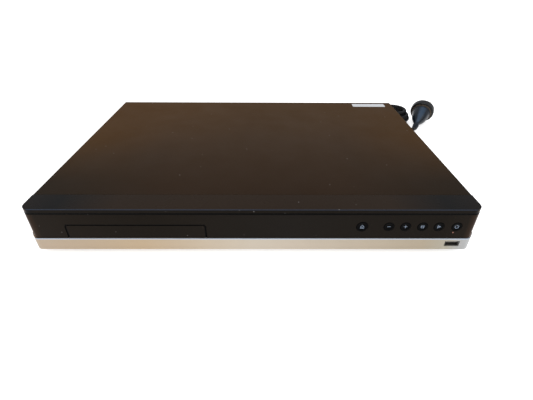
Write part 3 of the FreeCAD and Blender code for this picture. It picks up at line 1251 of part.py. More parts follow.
def cord_route(points):
    """Straight runs joined by arcs, each arc as wide as the shorter run beside it allows."""
    places = [V(*point) for point in points]
    edges = []
    radii = []
    at = places[0]
    for before, here, after in zip(places, places[1:], places[2:]):
        back = (before - here).normalize()
        ahead = (after - here).normalize()
        turn = math.pi - math.acos(max(-1.0, min(1.0, back.dot(ahead))))
        setback = 0.45 * min((before - here).Length, (after - here).Length)
        radii.append(setback / math.tan(turn / 2))
        start = here + back * setback
        end = here + ahead * setback
        edges.append(Part.makeLine(at, start))
        edges.append(arc_between(start, here, end))
        at = end
    edges.append(Part.makeLine(at, places[-1]))
    return edges, radii


def tube(edges, radius):
    start = edges[0].valueAt(edges[0].FirstParameter)
    direction = edges[0].tangentAt(edges[0].FirstParameter)
    ring = Part.Wire(Part.Circle(start, direction, radius).toShape())
    sweep = Part.BRepOffsetAPI.MakePipeShell(Part.Wire(edges))
    sweep.add(ring)
    sweep.build()
    sweep.makeSolid()
    return sweep.shape()


def cord_tube(points, name):
    edges, radii = cord_route(points)
    solid = tube(edges, CORD / 2)
    length = sum(edge.Length for edge in edges)
    share = solid.Volume / (math.pi * CORD ** 2 / 4 * length)
    print(name, "length", round(length, 1), "least radius", round(min(radii), 1), "volume share",
          round(share, 4))
    return solid


# Hank

HANK_X = WIDTH / 2 - 12.0
HANK_Y = DEPTH + 55.0
HANK_RUN = 84.0
HANK_RUNS = 10
HANK_HALF_WIDTH = 18.0
HANK_STEP = 3.6
WAIST_HALF_WIDTH = 8.3
WAIST_STEP = 3.8
LAYER_RISE = 6.4
LAYER_RUNS = 3
PLACES = 3
TIE_THICK = 0.8
TIE_WIDTH = 8.0
TIE_ROOM = 0.7
HANK_FLOOR = CORD / 2 + TIE_ROOM + TIE_THICK
LAST_PLACE = 4


def biarc(start, leaving, end, arriving):
    """Two arcs from start to end that leave and arrive along the given directions."""
    span = end - start
    total = leaving + arriving
    a = 2 * (leaving.dot(arriving) - 1)
    b = -2 * span.dot(total)
    c = span.dot(span)
    if abs(a) < 1e-9:
        reach = -c / b
    else:
        reach = (-b - math.sqrt(b * b - 4 * a * c)) / (2 * a)
    first = start + leaving * reach
    second = end - arriving * reach
    middle = (first + second) * 0.5
    return [arc_between(start, first, middle), arc_between(middle, second, end)]


def fold(start, heading, y):
    """A half turn from start, first heading along X, to the same X and height at y."""
    radius = abs(y - start.y) / 2
    centre = V(start.x, (start.y + y) / 2, start.z)
    top = centre + V(heading * radius, 0, 0)
    quarter = math.sqrt(0.5) * radius
    side = 1 if y > start.y else -1
    end = V(start.x, y, start.z)
    early = centre + V(heading * quarter, -side * quarter, 0)
    late = centre + V(heading * quarter, side * quarter, 0)
    return [Part.Arc(start, early, top).toShape(), Part.Arc(top, late, end).toShape()]


def hank_place(k):
    """How many places out from the middle run k lies: in and out again at a steady rate."""
    return abs((k + 1) % (2 * PLACES) - PLACES)


def hank_side(k):
    return -1 if k % 2 == 0 else 1


def hank_y(side, place):
    return HANK_Y + side * (HANK_HALF_WIDTH + HANK_STEP * place)


def hank_height(layer):
    return HANK_FLOOR + LAYER_RISE * layer


def hank_waist(k):
    """Where run k passes the waist."""
    y = HANK_Y + hank_side(k) * (WAIST_HALF_WIDTH + WAIST_STEP * hank_place(k))
    z = (hank_height(k // LAYER_RUNS) + hank_height((k + 1) // LAYER_RUNS)) / 2
    return V(HANK_X, y, z)


def hank_route():
    half = HANK_RUN / 2
    begin = V(HANK_X - half, hank_y(-1, hank_place(0)), hank_height(0))
    edges = [Part.makeLine(begin - V(CORD, 0, 0), begin)]
    for k in range(HANK_RUNS):
        heading = -hank_side(k)
        y = hank_y(hank_side(k), hank_place(k))
        low = hank_height(k // LAYER_RUNS)
        high = hank_height((k + 1) // LAYER_RUNS)
        start = V(HANK_X - heading * half, y, low)
        end = V(HANK_X + heading * half, y, high)
        along = V(heading, 0, 0)
        lean = V(heading, 0, 1.5 * (high - low) / HANK_RUN).normalize()
        waist = hank_waist(k)
        edges += biarc(start, along, waist, lean)
        edges += biarc(waist, lean, end, along)
        if k < HANK_RUNS - 1:
            edges += fold(end, heading, hank_y(hank_side(k + 1), hank_place(k + 1)))
    outer = end - V(CORD, 0, 0)
    edges.append(Part.makeLine(end, outer))
    edges += fold(outer, heading, hank_y(-1, LAST_PLACE))
    last = V(outer.x, hank_y(-1, LAST_PLACE), outer.z)
    edges.append(Part.makeLine(last, last + V(CORD, 0, 0)))
    return edges


def least_gap(edges, diameter):
    """The least gap of a tube to itself, measured between points along its middle line."""
    points = []
    for edge in edges:
        count = max(2, int(edge.Length / 1.2))
        points += edge.discretize(Number=count)[:-1]
    along = [0.0]
    for one, two in zip(points, points[1:]):
        along.append(along[-1] + (two - one).Length)
    least = 1e9
    for i in range(len(points)):
        for j in range(i + 1, len(points)):
            if along[j] - along[i] > 5 * diameter:
                least = min(least, (points[j] - points[i]).Length)
    return least - diameter


def cord_hank():
    edges = hank_route()
    solid = tube(edges, CORD / 2)
    length = sum(edge.Length for edge in edges)
    share = solid.Volume / (math.pi * CORD ** 2 / 4 * length)
    print("hank length", round(length, 1), "least gap", round(least_gap(edges, CORD), 2),
          "volume share", round(share, 4))
    return solid


def hank_tie():
    """A strap drawn round the outermost runs at the waist."""
    places = [hank_waist(k) for k in range(HANK_RUNS)]
    near = sorted((p for p in places if p.y < HANK_Y), key=lambda p: (p.y, p.z))
    far = sorted((p for p in places if p.y > HANK_Y), key=lambda p: p.z)
    widest = max(places, key=lambda p: p.y)
    outer_near = [p for p in near if abs(p.y - near[0].y) < 0.01]
    upper_near = max(near, key=lambda p: p.z)
    ring = [outer_near[0], outer_near[-1], upper_near, far[-1], widest, far[0]]
    wire = Part.makePolygon(ring + [ring[0]])
    inner = wire.makeOffset2D(CORD / 2 + TIE_ROOM)
    outer = wire.makeOffset2D(CORD / 2 + TIE_ROOM + TIE_THICK)
    band = Part.Face(outer).extrude(V(TIE_WIDTH, 0, 0))
    room = Part.Face(inner).extrude(V(TIE_WIDTH + 2 * CUT, 0, 0))
    room.translate(V(-CUT, 0, 0))
    strap = band.cut(room)
    strap.translate(V(-TIE_WIDTH / 2, 0, 0))
    return strap


# Connector and plug

CONNECTOR_HALF = 10.5
CONNECTOR_HALF_HEIGHT = 6.5
CONNECTOR_LENGTH = 11.2
RELIEF_END = 3.6
PLUG_X = WIDTH / 2 + 59.5
PLUG_Y = DEPTH + 16.5
PLUG_Z = 5.0
PLUG_HEADING = 59.5
PLUG_ROLL = 135.0
PLUG_LENGTH = 58.0
PLUG_FLANGE = 20.0
PLUG_FLANGE_THICK = 12.0
PLUG_FLANGE_ROUND = 3.0
PLUG_NECK = 4.5
PLUG_NECK_LENGTH = 8.0
PLUG_BELL = ((13.0, 5.4), (20.0, 8.6), (28.0, 11.9), (37.0, 14.0))
PLUG_FOOT = 15.8
PLUG_RING = 16.9
PLUG_RING_HEIGHT = 1.0
RIB_SHARES = (0.4, 0.65, 0.9)
RIB_RISE = 0.6
RIB_WIDTH = 2.0
PIN_LENGTH = 17.0
PIN_WIDTH = 6.3
PIN_THICK = 1.6
PIN_OUT = 7.9
PIN_ANGLE = 30.0


def cord_connector():
    face = INLET_FACE + SEAT
    nose = figure_eight(INLET_LOBE_RADIUS - SEAT, INLET_LOBE, INLET_FACE - INLET_DEPTH + SEAT, face)
    body = front_window(INLET_X - CONNECTOR_HALF, INLET_X + CONNECTOR_HALF,
                        SOCKET_Z - CONNECTOR_HALF_HEIGHT, SOCKET_Z + CONNECTOR_HALF_HEIGHT,
                        5.0, face, face + CONNECTOR_LENGTH)
    taper = cone_y(INLET_X, SOCKET_Z, face + CONNECTOR_LENGTH, LEAD_POINTS[0][1], 5.6, RELIEF_END)
    holes = [rod_y(INLET_X + side * INLET_LOBE, SOCKET_Z, 0, INLET_FACE - 2.0 + SEAT, INLET_PIN + SEAT)
             for side in (-1, 1)]
    return cut_all(join([nose, body, taper]), holes)


def plug_tilt():
    """How far the plug points up when the rim of its flange rests on the floor."""
    reach = math.hypot(PLUG_LENGTH - PLUG_FLANGE_THICK, PLUG_FLANGE)
    lean = math.atan2(PLUG_FLANGE, PLUG_LENGTH - PLUG_FLANGE_THICK)
    return lean - math.asin((PLUG_Z - 0.1) / reach)


def plug_axis():
    heading = math.radians(PLUG_HEADING)
    tilt = plug_tilt()
    return V(math.cos(heading) * math.cos(tilt), math.sin(heading) * math.cos(tilt), math.sin(tilt))


def plug_place(shape):
    """Moves a piece drawn along Z from the neck of the plug to where the plug lies."""
    turn = FreeCAD.Rotation(V(0, 0, 1), plug_axis())
    roll = FreeCAD.Rotation(V(0, 0, 1), PLUG_ROLL)
    placed = shape.copy()
    placed.Placement = FreeCAD.Placement(V(PLUG_X, PLUG_Y, PLUG_Z), turn.multiply(roll))
    return placed


def along_arcs(arcs, share):
    """The place and the direction at a share of the whole length of two arcs."""
    reach = share * (arcs[0].Length + arcs[1].Length)
    arc = arcs[0]
    if reach > arc.Length:
        reach -= arc.Length
        arc = arcs[1]
    at = arc.FirstParameter + min(1.0, reach / arc.Length) * (arc.LastParameter - arc.FirstParameter)
    return arc.valueAt(at), arc.tangentAt(at)


def round_edges(shape):
    return [edge for edge in shape.Edges if edge.Curve.TypeId == "Part::GeomCircle"]


def plug_relief():
    """The tapered sleeve that bends from the end of the cord into the plug."""
    start = V(*TAIL_POINTS[-1])
    leaving = (start - V(*TAIL_POINTS[-2])).normalize()
    axis = plug_axis()
    end = V(PLUG_X, PLUG_Y, PLUG_Z) + axis * PLUG_NECK_LENGTH
    arcs = biarc(start, leaving, end, axis)
    root = CORD / 2 + 0.3
    rings = []
    for share in (0.0, 0.25, 0.5, 0.75, 1.0):
        place, along = along_arcs(arcs, share)
        radius = root + (PLUG_NECK - root) * share
        rings.append(Part.Wire(Part.Circle(place, along, radius).toShape()))
    pieces = [Part.makeLoft(rings, True, False)]
    for share in RIB_SHARES:
        place, along = along_arcs(arcs, share)
        radius = root + (PLUG_NECK - root) * share + RIB_RISE
        rib = Part.makeCylinder(radius, RIB_WIDTH, place - along * (RIB_WIDTH / 2), along)
        pieces.append(rib.makeFillet(RIB_RISE * 0.7, round_edges(rib)))
    return join(pieces)


def plug_body():
    points = [V(PLUG_NECK, 0, PLUG_NECK_LENGTH)]
    points += [V(radius, 0, z) for z, radius in PLUG_BELL]
    foot_z = PLUG_LENGTH - PLUG_FLANGE_THICK
    points.append(V(PLUG_FOOT, 0, foot_z))
    side = Part.BSplineCurve()
    side.interpolate(points)
    corners = [V(PLUG_FOOT, 0, foot_z), V(PLUG_FOOT, 0, foot_z + 1), V(0, 0, foot_z + 1),
               V(0, 0, PLUG_NECK_LENGTH), V(PLUG_NECK, 0, PLUG_NECK_LENGTH)]
    edges = [side.toShape()] + [Part.makeLine(a, b) for a, b in zip(corners, corners[1:])]
    bell = Part.Face(Part.Wire(edges)).revolve(V(0, 0, 0), V(0, 0, 1), 360)
    if bell.Volume < 0:
        bell.reverse()
    flange = post(0, 0, foot_z, PLUG_LENGTH, PLUG_FLANGE)
    flange = flange.makeFillet(PLUG_FLANGE_ROUND, round_edges(flange))
    ring = post(0, 0, foot_z - PLUG_RING_HEIGHT, foot_z + 1, PLUG_RING)
    return join([plug_place(join([bell, flange, ring])), plug_relief()])


def plug_pins():
    pins = []
    for side in (-1, 1):
        pin = Part.makeBox(PIN_THICK, PIN_WIDTH, PIN_LENGTH, V(-PIN_THICK / 2, -PIN_WIDTH / 2, PLUG_LENGTH))
        pin.rotate(V(0, 0, 0), V(0, 0, 1), -side * PIN_ANGLE)
        pin.translate(V(side * PIN_OUT, 0, 0))
        pins.append(pin)
    return plug_place(Part.makeCompound(pins))


# Every node

NODES = {
    "top_cover": top_cover, "bottom_chassis": bottom_chassis, "rear_panel": rear_panel,
    "front_frame": front_frame, "front_top_cap": front_top_cap, "fascia_panel": fascia_panel,
    "silver_bezel": silver_bezel, "feet": feet, "cover_screws": cover_screws,
    "label_sticker": label_sticker, "standby_light": standby_light,
    "drive_frame": drive_frame, "drive_bridge": drive_bridge, "clamper": clamper,
    "traverse_chassis": traverse_chassis, "spindle_motor": spindle_motor, "turntable": turntable,
    "optical_pickup": optical_pickup, "pickup_lens": pickup_lens, "guide_rods": guide_rods,
    "feed_screw": feed_screw, "feed_motor": feed_motor, "loading_motor": loading_motor,
    "motor_pulley": motor_pulley, "loading_belt": loading_belt, "pulley_gear": pulley_gear,
    "drive_gear": drive_gear, "cam_slider": cam_slider, "disc_tray": disc_tray, "tray_door": tray_door,
    "front_board": front_board, "display_module": display_module, "usb_socket": usb_socket,
    "fan_frame": fan_frame, "fan_rotor": fan_rotor, "hdmi_socket": hdmi_socket,
    "lan_socket": lan_socket, "rca_sockets": rca_sockets, "antenna_socket": antenna_socket,
    "speaker_terminals": speaker_terminals, "ac_inlet": ac_inlet,
    "main_board": main_board, "power_board": power_board, "transformer": transformer,
    "capacitors": capacitors, "heat_sink": heat_sink, "inner_cables": inner_cables,
    "cord_connector": cord_connector, "cord_hank": cord_hank, "hank_tie": hank_tie,
    "plug_body": plug_body, "plug_pins": plug_pins,
}

for node, make in NODES.items():
    save(node, make())
for name in BUTTON_X:
    save(name + "_button", button(name))
save("cord_lead", cord_tube(LEAD_POINTS, "lead"))
save("cord_tail", cord_tube(TAIL_POINTS, "tail"))
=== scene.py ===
import json
import math

import bmesh
import bpy
from mathutils import Matrix, Vector


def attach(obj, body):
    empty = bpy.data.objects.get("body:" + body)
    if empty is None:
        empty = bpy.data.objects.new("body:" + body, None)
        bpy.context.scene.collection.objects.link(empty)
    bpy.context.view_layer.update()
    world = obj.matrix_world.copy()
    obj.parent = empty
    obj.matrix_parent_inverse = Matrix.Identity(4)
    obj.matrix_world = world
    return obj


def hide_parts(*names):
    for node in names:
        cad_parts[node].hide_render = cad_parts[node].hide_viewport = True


# Blu-ray player of a home-cinema set. Points are given in millimetres: X to the right, Y back from
# the front face and Z up from the floor. at() turns them into the frame's metres.

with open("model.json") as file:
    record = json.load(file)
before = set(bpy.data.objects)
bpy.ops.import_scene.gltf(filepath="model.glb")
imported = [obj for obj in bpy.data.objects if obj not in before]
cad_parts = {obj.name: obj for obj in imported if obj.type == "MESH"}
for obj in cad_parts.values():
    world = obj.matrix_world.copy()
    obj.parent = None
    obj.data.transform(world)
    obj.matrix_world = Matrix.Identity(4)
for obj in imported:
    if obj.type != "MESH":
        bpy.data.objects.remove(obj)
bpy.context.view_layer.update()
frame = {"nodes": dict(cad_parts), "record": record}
for plain in list(bpy.data.materials):
    bpy.data.materials.remove(plain)
HALF_FOOTPRINT = 157.0
HALF_WIDTH = 216.0
DEPTH = 305.0
REAR_FACE = 304.3
TOP = 55.0
CAP_BOTTOM = 50.3
CAP_GAP = 50.0
PANEL_TOP = 49.3
PANEL_BOTTOM = 20.8
BOARD_TOP = 16.0


def at(x, y, z):
    return Vector((x, y - HALF_FOOTPRINT, z)) / 1000


# Camera

CAMERA_PLACE = (10.350, -268.129, 244.083)
PITCH = 0.586530
YAW = 0.0086578
ROLL = 0.0059883
FOCAL_PIXELS = 355.3
PHOTO_WIDTH = 533
SENSOR = 36.0


def make_camera():
    forward = Vector((math.sin(YAW) * math.cos(PITCH), math.cos(YAW) * math.cos(PITCH), -math.sin(PITCH)))
    level = Vector((math.cos(YAW), -math.sin(YAW), 0))
    above = level.cross(forward)
    right = level * math.cos(ROLL) + above * math.sin(ROLL)
    up = above * math.cos(ROLL) - level * math.sin(ROLL)
    data = bpy.data.cameras.new("camera")
    data.sensor_width = SENSOR
    data.sensor_fit = "HORIZONTAL"
    data.lens = FOCAL_PIXELS / PHOTO_WIDTH * SENSOR
    data.clip_start = 0.01
    data.clip_end = 50
    camera = bpy.data.objects.new("camera", data)
    bpy.context.scene.collection.objects.link(camera)
    turn = Matrix((right, up, -forward)).transposed().to_4x4()
    camera.matrix_world = Matrix.Translation(at(*CAMERA_PLACE)) @ turn
    bpy.context.scene.camera = camera


make_camera()
bpy.context.scene.view_settings.view_transform = "Standard"


# Cord

CORD = 6.0
LEAD_FROM_CORNER = ((-186.0, 26.4, 25.0), (-186.0, 46.4, 25.0), (-174.2, 71.7, 14.5), (-148.9, 83.5, 3.0),
                    (-119.0, 73.4, 3.0), (-106.0, 47.0, 4.0), (-86.0, 29.8, 4.5), (-60.0, 29.8, 4.5))
TAIL_FROM_CORNER = ((-37.0, 22.6, 23.7), (-21.5, 18.8, 18.3), (-3.0, 11.5, 7.5),
                    (19.7, 4.5, 3.3), (32.6, 2.9, 3.0), (44.5, 5.75, 3.3), (54.5, 12.2, 4.3))
HANK_X = HALF_WIDTH - 12.0
HANK_Y = DEPTH + 55.0
HANK_RUN = 84.0
HANK_RUNS = 10
HANK_FLOOR = 4.5
LAYER_RISE = 6.4
LAST_PLACE = 4
LAST_STRAIGHT = 6.0
LOOP_HALF = 18.0
LOOP_STEP = 3.6
WAIST_HALF = 8.3
WAIST_STEP = 3.8
FOLD_HALF_STEP = 22.5
FOLD_POINTS = 4


def from_corner(points):
    """Places given from the rear right corner of the cabinet, at floor level."""
    return [(HALF_WIDTH + x, DEPTH + y, z) for x, y, z in points]


def hank_place(k):
    """How many places out from the middle run k lies."""
    return abs((k + 1) % 6 - 3)


def hank_side(k):
    return -1 if k % 2 == 0 else 1


def hank_y(side, place):
    return HANK_Y + side * (LOOP_HALF + LOOP_STEP * place)


def hank_run(k):
    """The points of one run, drawn in where the tie holds it and rising from its layer to the next."""
    heading = -hank_side(k)
    wide = hank_y(hank_side(k), hank_place(k))
    waist = HANK_Y + hank_side(k) * (WAIST_HALF + WAIST_STEP * hank_place(k))
    low = HANK_FLOOR + LAYER_RISE * (k // 3)
    rise = LAYER_RISE * ((k + 1) // 3 - k // 3)
    half = HANK_RUN / 2
    stations = ((-0.75, wide, 0.0), (-0.25, waist, 0.31), (0.25, waist, 0.69), (0.75, wide, 1.0))
    return [(HANK_X + heading * half * along, y, low + rise * share) for along, y, share in stations]


def hank_fold(x, heading, start_y, end_y, z):
    """The points of a half turn at the end of a run."""
    radius = abs(end_y - start_y) / 2
    corner = radius / math.cos(math.radians(FOLD_HALF_STEP))
    side = 1 if end_y > start_y else -1
    points = []
    for i in range(FOLD_POINTS):
        turn = math.radians(FOLD_HALF_STEP * (2 * i + 1 - FOLD_POINTS))
        points.append((x + heading * corner * math.cos(turn),
                       (start_y + end_y) / 2 + side * corner * math.sin(turn), z))
    return points


def hank_points():
    points = []
    for k in range(HANK_RUNS):
        heading = -hank_side(k)
        here = hank_y(hank_side(k), hank_place(k))
        top = HANK_FLOOR + LAYER_RISE * ((k + 1) // 3)
        end_x = HANK_X + heading * HANK_RUN / 2
        points += hank_run(k)
        if k < HANK_RUNS - 1:
            following = hank_y(hank_side(k + 1), hank_place(k + 1))
        else:
            following = hank_y(-1, LAST_PLACE)
            end_x += heading * LAST_STRAIGHT
        points += hank_fold(end_x, heading, here, following, top)
    return points


def make_cord():
    points = from_corner(LEAD_FROM_CORNER) + hank_points() + from_corner(TAIL_FROM_CORNER)
    data = bpy.data.curves.new("mains_cord", "CURVE")
    data.dimensions = "3D"
    data.bevel_depth = 1.0
    data.bevel_resolution = 5
    data.use_fill_caps = True
    spline = data.splines.new("NURBS")
    spline.points.add(len(points) - 1)
    for point, place in zip(spline.points, points):
        point.co = (*at(*place), 1.0)
        point.radius = CORD / 2000
    spline.order_u = 3
    spline.use_endpoint_u = True
    spline.resolution_u = 6
    spline.use_smooth = True
    cord = bpy.data.objects.new("mains_cord", data)
    bpy.context.scene.collection.objects.link(cord)
    return cord


cord = make_cord()
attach(cord, "cabinet")
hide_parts("cord_lead", "cord_hank", "cord_tail")


# Floor and light

FLOOR_SIZE = 30.0
FLOOR_COLOUR = (0.78, 0.78, 0.78, 1)
CAMERA_LIFT = 0.65
ROOM_LIGHT = (0.70, 0.70, 0.72, 1)
LAMPS = (("key", (-0.50, -0.85, 1.30), 1.2, 8.0), ("fill", (0.95, -0.55, 0.95), 1.0, 4.0),
         ("top", (0.0, -0.1, 1.9), 1.4, 6.0))
LAMP_AIM = (0, 0, 0.03)


def seen_directly(tree):
    """1 where the camera, a reflection or glass shows the surface, and 0 where it only lights others."""
    path = tree.nodes.new("ShaderNodeLightPath")
    first = tree.nodes.new("ShaderNodeMath")
    first.operation = "MAXIMUM"
    tree.links.new(path.outputs["Is Camera Ray"], first.inputs[0])
    tree.links.new(path.outputs["Is Glossy Ray"], first.inputs[1])
    second = tree.nodes.new("ShaderNodeMath")
    second.operation = "MAXIMUM"
    tree.links.new(first.outputs[0], second.inputs[0])
    tree.links.new(path.outputs["Is Transmission Ray"], second.inputs[1])
    return second.outputs[0]


def make_floor():
    mesh = bpy.data.meshes.new("floor")
    edge = FLOOR_SIZE / 2
    corners = [(-edge, -edge, 0), (edge, -edge, 0), (edge, edge, 0), (-edge, edge, 0)]
    mesh.from_pydata(corners, [], [(0, 1, 2, 3)])
    floor = bpy.data.objects.new("floor", mesh)
    bpy.context.scene.collection.objects.link(floor)
    material = bpy.data.materials.new("pale_floor")
    material.use_nodes = True
    tree = material.node_tree
    shader = tree.nodes["Principled BSDF"]
    shader.inputs["Base Color"].default_value = FLOOR_COLOUR
    shader.inputs["Roughness"].default_value = 1.0
    shader.inputs["Specular IOR Level"].default_value = 0.0
    lift = tree.nodes.new("ShaderNodeEmission")
    share = tree.nodes.new("ShaderNodeMath")
    share.operation = "MULTIPLY"
    share.inputs[1].default_value = CAMERA_LIFT
    tree.links.new(seen_directly(tree), share.inputs[0])
    tree.links.new(share.outputs[0], lift.inputs["Strength"])
    both = tree.nodes.new("ShaderNodeAddShader")
    tree.links.new(shader.outputs[0], both.inputs[0])
    tree.links.new(lift.outputs[0], both.inputs[1])
    tree.links.new(both.outputs[0], tree.nodes["Material Output"].inputs["Surface"])
    mesh.materials.append(material)


def make_room():
    world = bpy.data.worlds.new("room")
    bpy.context.scene.world = world
    world.use_nodes = True
    tree = world.node_tree
    light = tree.nodes["Background"]
    light.inputs["Color"].default_value = ROOM_LIGHT
    white = tree.nodes.new("ShaderNodeBackground")
    white.inputs["Color"].default_value = (1, 1, 1, 1)
    path = tree.nodes.new("ShaderNodeLightPath")
    mix = tree.nodes.new("ShaderNodeMixShader")
    tree.links.new(path.outputs["Is Camera Ray"], mix.inputs[0])
    tree.links.new(light.outputs[0], mix.inputs[1])
    tree.links.new(white.outputs[0], mix.inputs[2])
    tree.links.new(mix.outputs[0], tree.nodes["World Output"].inputs["Surface"])


def make_lamp(name, place, size, power):
    data = bpy.data.lights.new(name, "AREA")
    data.energy = power
    data.size = size
    lamp = bpy.data.objects.new(name, data)
    bpy.context.scene.collection.objects.link(lamp)
    lamp.location = place
    lamp.rotation_mode = "QUATERNION"
    lamp.rotation_quaternion = (Vector(place) - Vector(LAMP_AIM)).to_track_quat("Z", "Y")


make_floor()
make_room()
for lamp in LAMPS:
    make_lamp(*lamp)


# Materials

DUST_SCALE = 900


def zero_place(axis):
    """Where the frame's zero lies along an axis, in millimetres."""
    return HALF_FOOTPRINT if axis == "Y" else 0.0


class Finish:
    """A material with its detail. Places along an axis are in millimetres, other lengths in metres."""

    def __init__(self, name, colour, roughness, metallic=0.0, specular=0.5):
        self.material = bpy.data.materials.new(name)
        self.material.use_nodes = True
        self.tree = self.material.node_tree
        self.shader = self.tree.nodes["Principled BSDF"]
        self.colour = colour
        self.shader.inputs["Base Color"].default_value = (*colour, 1)
        self.shader.inputs["Roughness"].default_value = roughness
        self.shader.inputs["Metallic"].default_value = metallic
        self.shader.inputs["Specular IOR Level"].default_value = specular
        self.roughness = roughness
        self.place = self.add("ShaderNodeTexCoord").outputs["Object"]
        self.colour_now = None
        self.normal_now = None

    def add(self, kind, **values):
        node = self.tree.nodes.new(kind)
        for key, value in values.items():
            setattr(node, key, value)
        return node

    def link(self, source, target):
        self.tree.links.new(source, target)

    def noise(self, scale, detail=3.0, stretch=(1, 1, 1)):
        place = self.place
        if stretch != (1, 1, 1):
            mapping = self.add("ShaderNodeMapping")
            mapping.inputs["Scale"].default_value = stretch
            self.link(self.place, mapping.inputs["Vector"])
            place = mapping.outputs["Vector"]
        noise = self.add("ShaderNodeTexNoise")
        noise.inputs["Scale"].default_value = scale
        noise.inputs["Detail"].default_value = detail
        self.link(place, noise.inputs["Vector"])
        return noise.outputs["Fac"]

    def between(self, value, low, high, start=0.3, end=0.7):
        span = self.add("ShaderNodeMapRange")
        span.inputs["From Min"].default_value = start
        span.inputs["From Max"].default_value = end
        span.inputs["To Min"].default_value = low
        span.inputs["To Max"].default_value = high
        self.link(value, span.inputs["Value"])
        return span.outputs["Result"]

    def tint(self, mask, colour, blend="MIX"):
        """Mixes another colour in where the mask is 1."""
        mix = self.add("ShaderNodeMix", data_type="RGBA", blend_type=blend)
        self.link(mask, mix.inputs[0])
        if self.colour_now is None:
            mix.inputs[6].default_value = (*self.colour, 1)
        else:
            self.link(self.colour_now, mix.inputs[6])
        mix.inputs[7].default_value = (*colour, 1)
        self.colour_now = mix.outputs[2]
        self.link(self.colour_now, self.shader.inputs["Base Color"])
        return self

    def along(self, axis):
        """The place along one axis of the frame."""
        split = self.add("ShaderNodeSeparateXYZ")
        self.link(self.place, split.inputs[0])
        return split.outputs["XYZ".index(axis)]

    def span(self, value, low, high, blur):
        """1 where a value in metres lies between two places in millimetres."""
        rising = self.between(value, 0, 1, (low - blur) / 1000, (low + blur) / 1000)
        falling = self.between(value, 1, 0, (high - blur) / 1000, (high + blur) / 1000)
        return self.both(rising, falling)

    def band(self, axis, low, high, blur=0.2):
        """1 between two places along an axis."""
        zero = zero_place(axis)
        return self.span(self.along(axis), low - zero, high - zero, blur)

    def both(self, one, two):
        product = self.add("ShaderNodeMath", operation="MULTIPLY")
        self.link(one, product.inputs[0])
        self.link(two, product.inputs[1])
        return product.outputs[0]

    def patch(self, colour, *bands):
        """Another colour where all of some bands meet."""
        mask = self.band(*bands[0])
        for band in bands[1:]:
            mask = self.both(mask, self.band(*band))
        return self.tint(mask, colour)

    def ends(self, colour, low, high, blur, *bands):
        """Another colour near both ends of the cabinet."""
        for side in (-1, 1):
            self.patch(colour, ("X", *sorted((side * low, side * high)), blur), *bands)
        return self

    def ramp(self, axis, stops):
        """Colours along an axis, each given with its place."""
        first = (stops[0][0] - zero_place(axis)) / 1000
        last = (stops[-1][0] - zero_place(axis)) / 1000
        share = self.between(self.along(axis), 0, 1, first, last)
        ramp = self.add("ShaderNodeValToRGB")
        points = ramp.color_ramp.elements
        while len(points) < len(stops):
            points.new(0.5)
        for point, (place, colour) in zip(points, stops):
            point.position = (place - stops[0][0]) / (stops[-1][0] - stops[0][0])
            point.color = (*colour, 1)
        self.link(share, ramp.inputs["Fac"])
        self.colour_now = ramp.outputs["Color"]
        self.link(self.colour_now, self.shader.inputs["Base Color"])
        return self

    def facing(self, direction, low, high):
        """1 where the surface looks along a direction, with the cosines where it starts and is full."""
        along = self.add("ShaderNodeVectorMath", operation="DOT_PRODUCT")
        along.inputs[1].default_value = direction
        self.link(self.add("ShaderNodeNewGeometry").outputs["Normal"], along.inputs[0])
        return self.between(along.outputs["Value"], 0, 1, low, high)

    def mottle(self, scale, amount):
        """Slow change of colour over the surface."""
        grey = (1 - amount,) * 3
        return self.tint(self.between(self.noise(scale), 0, 1), grey, "MULTIPLY")

    def uneven(self, scale, amount):
        """Roughness that changes over the surface."""
        span = self.between(self.noise(scale), self.roughness - amount, self.roughness + amount)
        self.link(span, self.shader.inputs["Roughness"])
        return self

    def grain(self, scale, depth, stretch=(1, 1, 1), detail=3.0):
        """Fine relief, on top of the soft edges where there are any."""
        bump = self.add("ShaderNodeBump")
        bump.inputs["Distance"].default_value = depth
        bump.inputs["Strength"].default_value = 1.0
        self.link(self.noise(scale, detail, stretch), bump.inputs["Height"])
        if self.normal_now is not None:
            self.link(self.normal_now, bump.inputs["Normal"])
        self.link(bump.outputs["Normal"], self.shader.inputs["Normal"])
        return self

    def soft_edges(self, radius):
        """Edges catch the light as if they were slightly rounded."""
        bevel = self.add("ShaderNodeBevel", samples=4)
        bevel.inputs["Radius"].default_value = radius
        self.normal_now = bevel.outputs["Normal"]
        self.link(self.normal_now, self.shader.inputs["Normal"])
        return self

    def dust(self, colour, amount):
        """A fine pale haze."""
        return self.tint(self.between(self.noise(DUST_SCALE, 2.0), 0, amount, 0.68, 0.8), colour)

    def specks(self, colour, spacing, radius):
        """Single pale grains, with their mean spacing and radius in millimetres."""
        cells = self.add("ShaderNodeTexVoronoi")
        cells.inputs["Scale"].default_value = 1000 / spacing
        self.link(self.place, cells.inputs["Vector"])
        near = self.between(cells.outputs["Distance"], 1, 0, 0.6 * radius / spacing, radius / spacing)
        return self.tint(near, colour)

    def reach(self, start, direction):
        """How far a place lies along a direction from a start."""
        offset = self.add("ShaderNodeVectorMath", operation="SUBTRACT")
        offset.inputs[1].default_value = start
        self.link(self.place, offset.inputs[0])
        along = self.add("ShaderNodeVectorMath", operation="DOT_PRODUCT")
        along.inputs[1].default_value = direction
        self.link(offset.outputs[0], along.inputs[0])
        return along.outputs["Value"]


def dress(name, finish):
    """Gives a carried-over node its material."""
    slots = frame["nodes"][name].data.materials
    if not slots:
        slots.append(finish.material)
    for index in range(len(slots)):
        slots[index] = finish.material
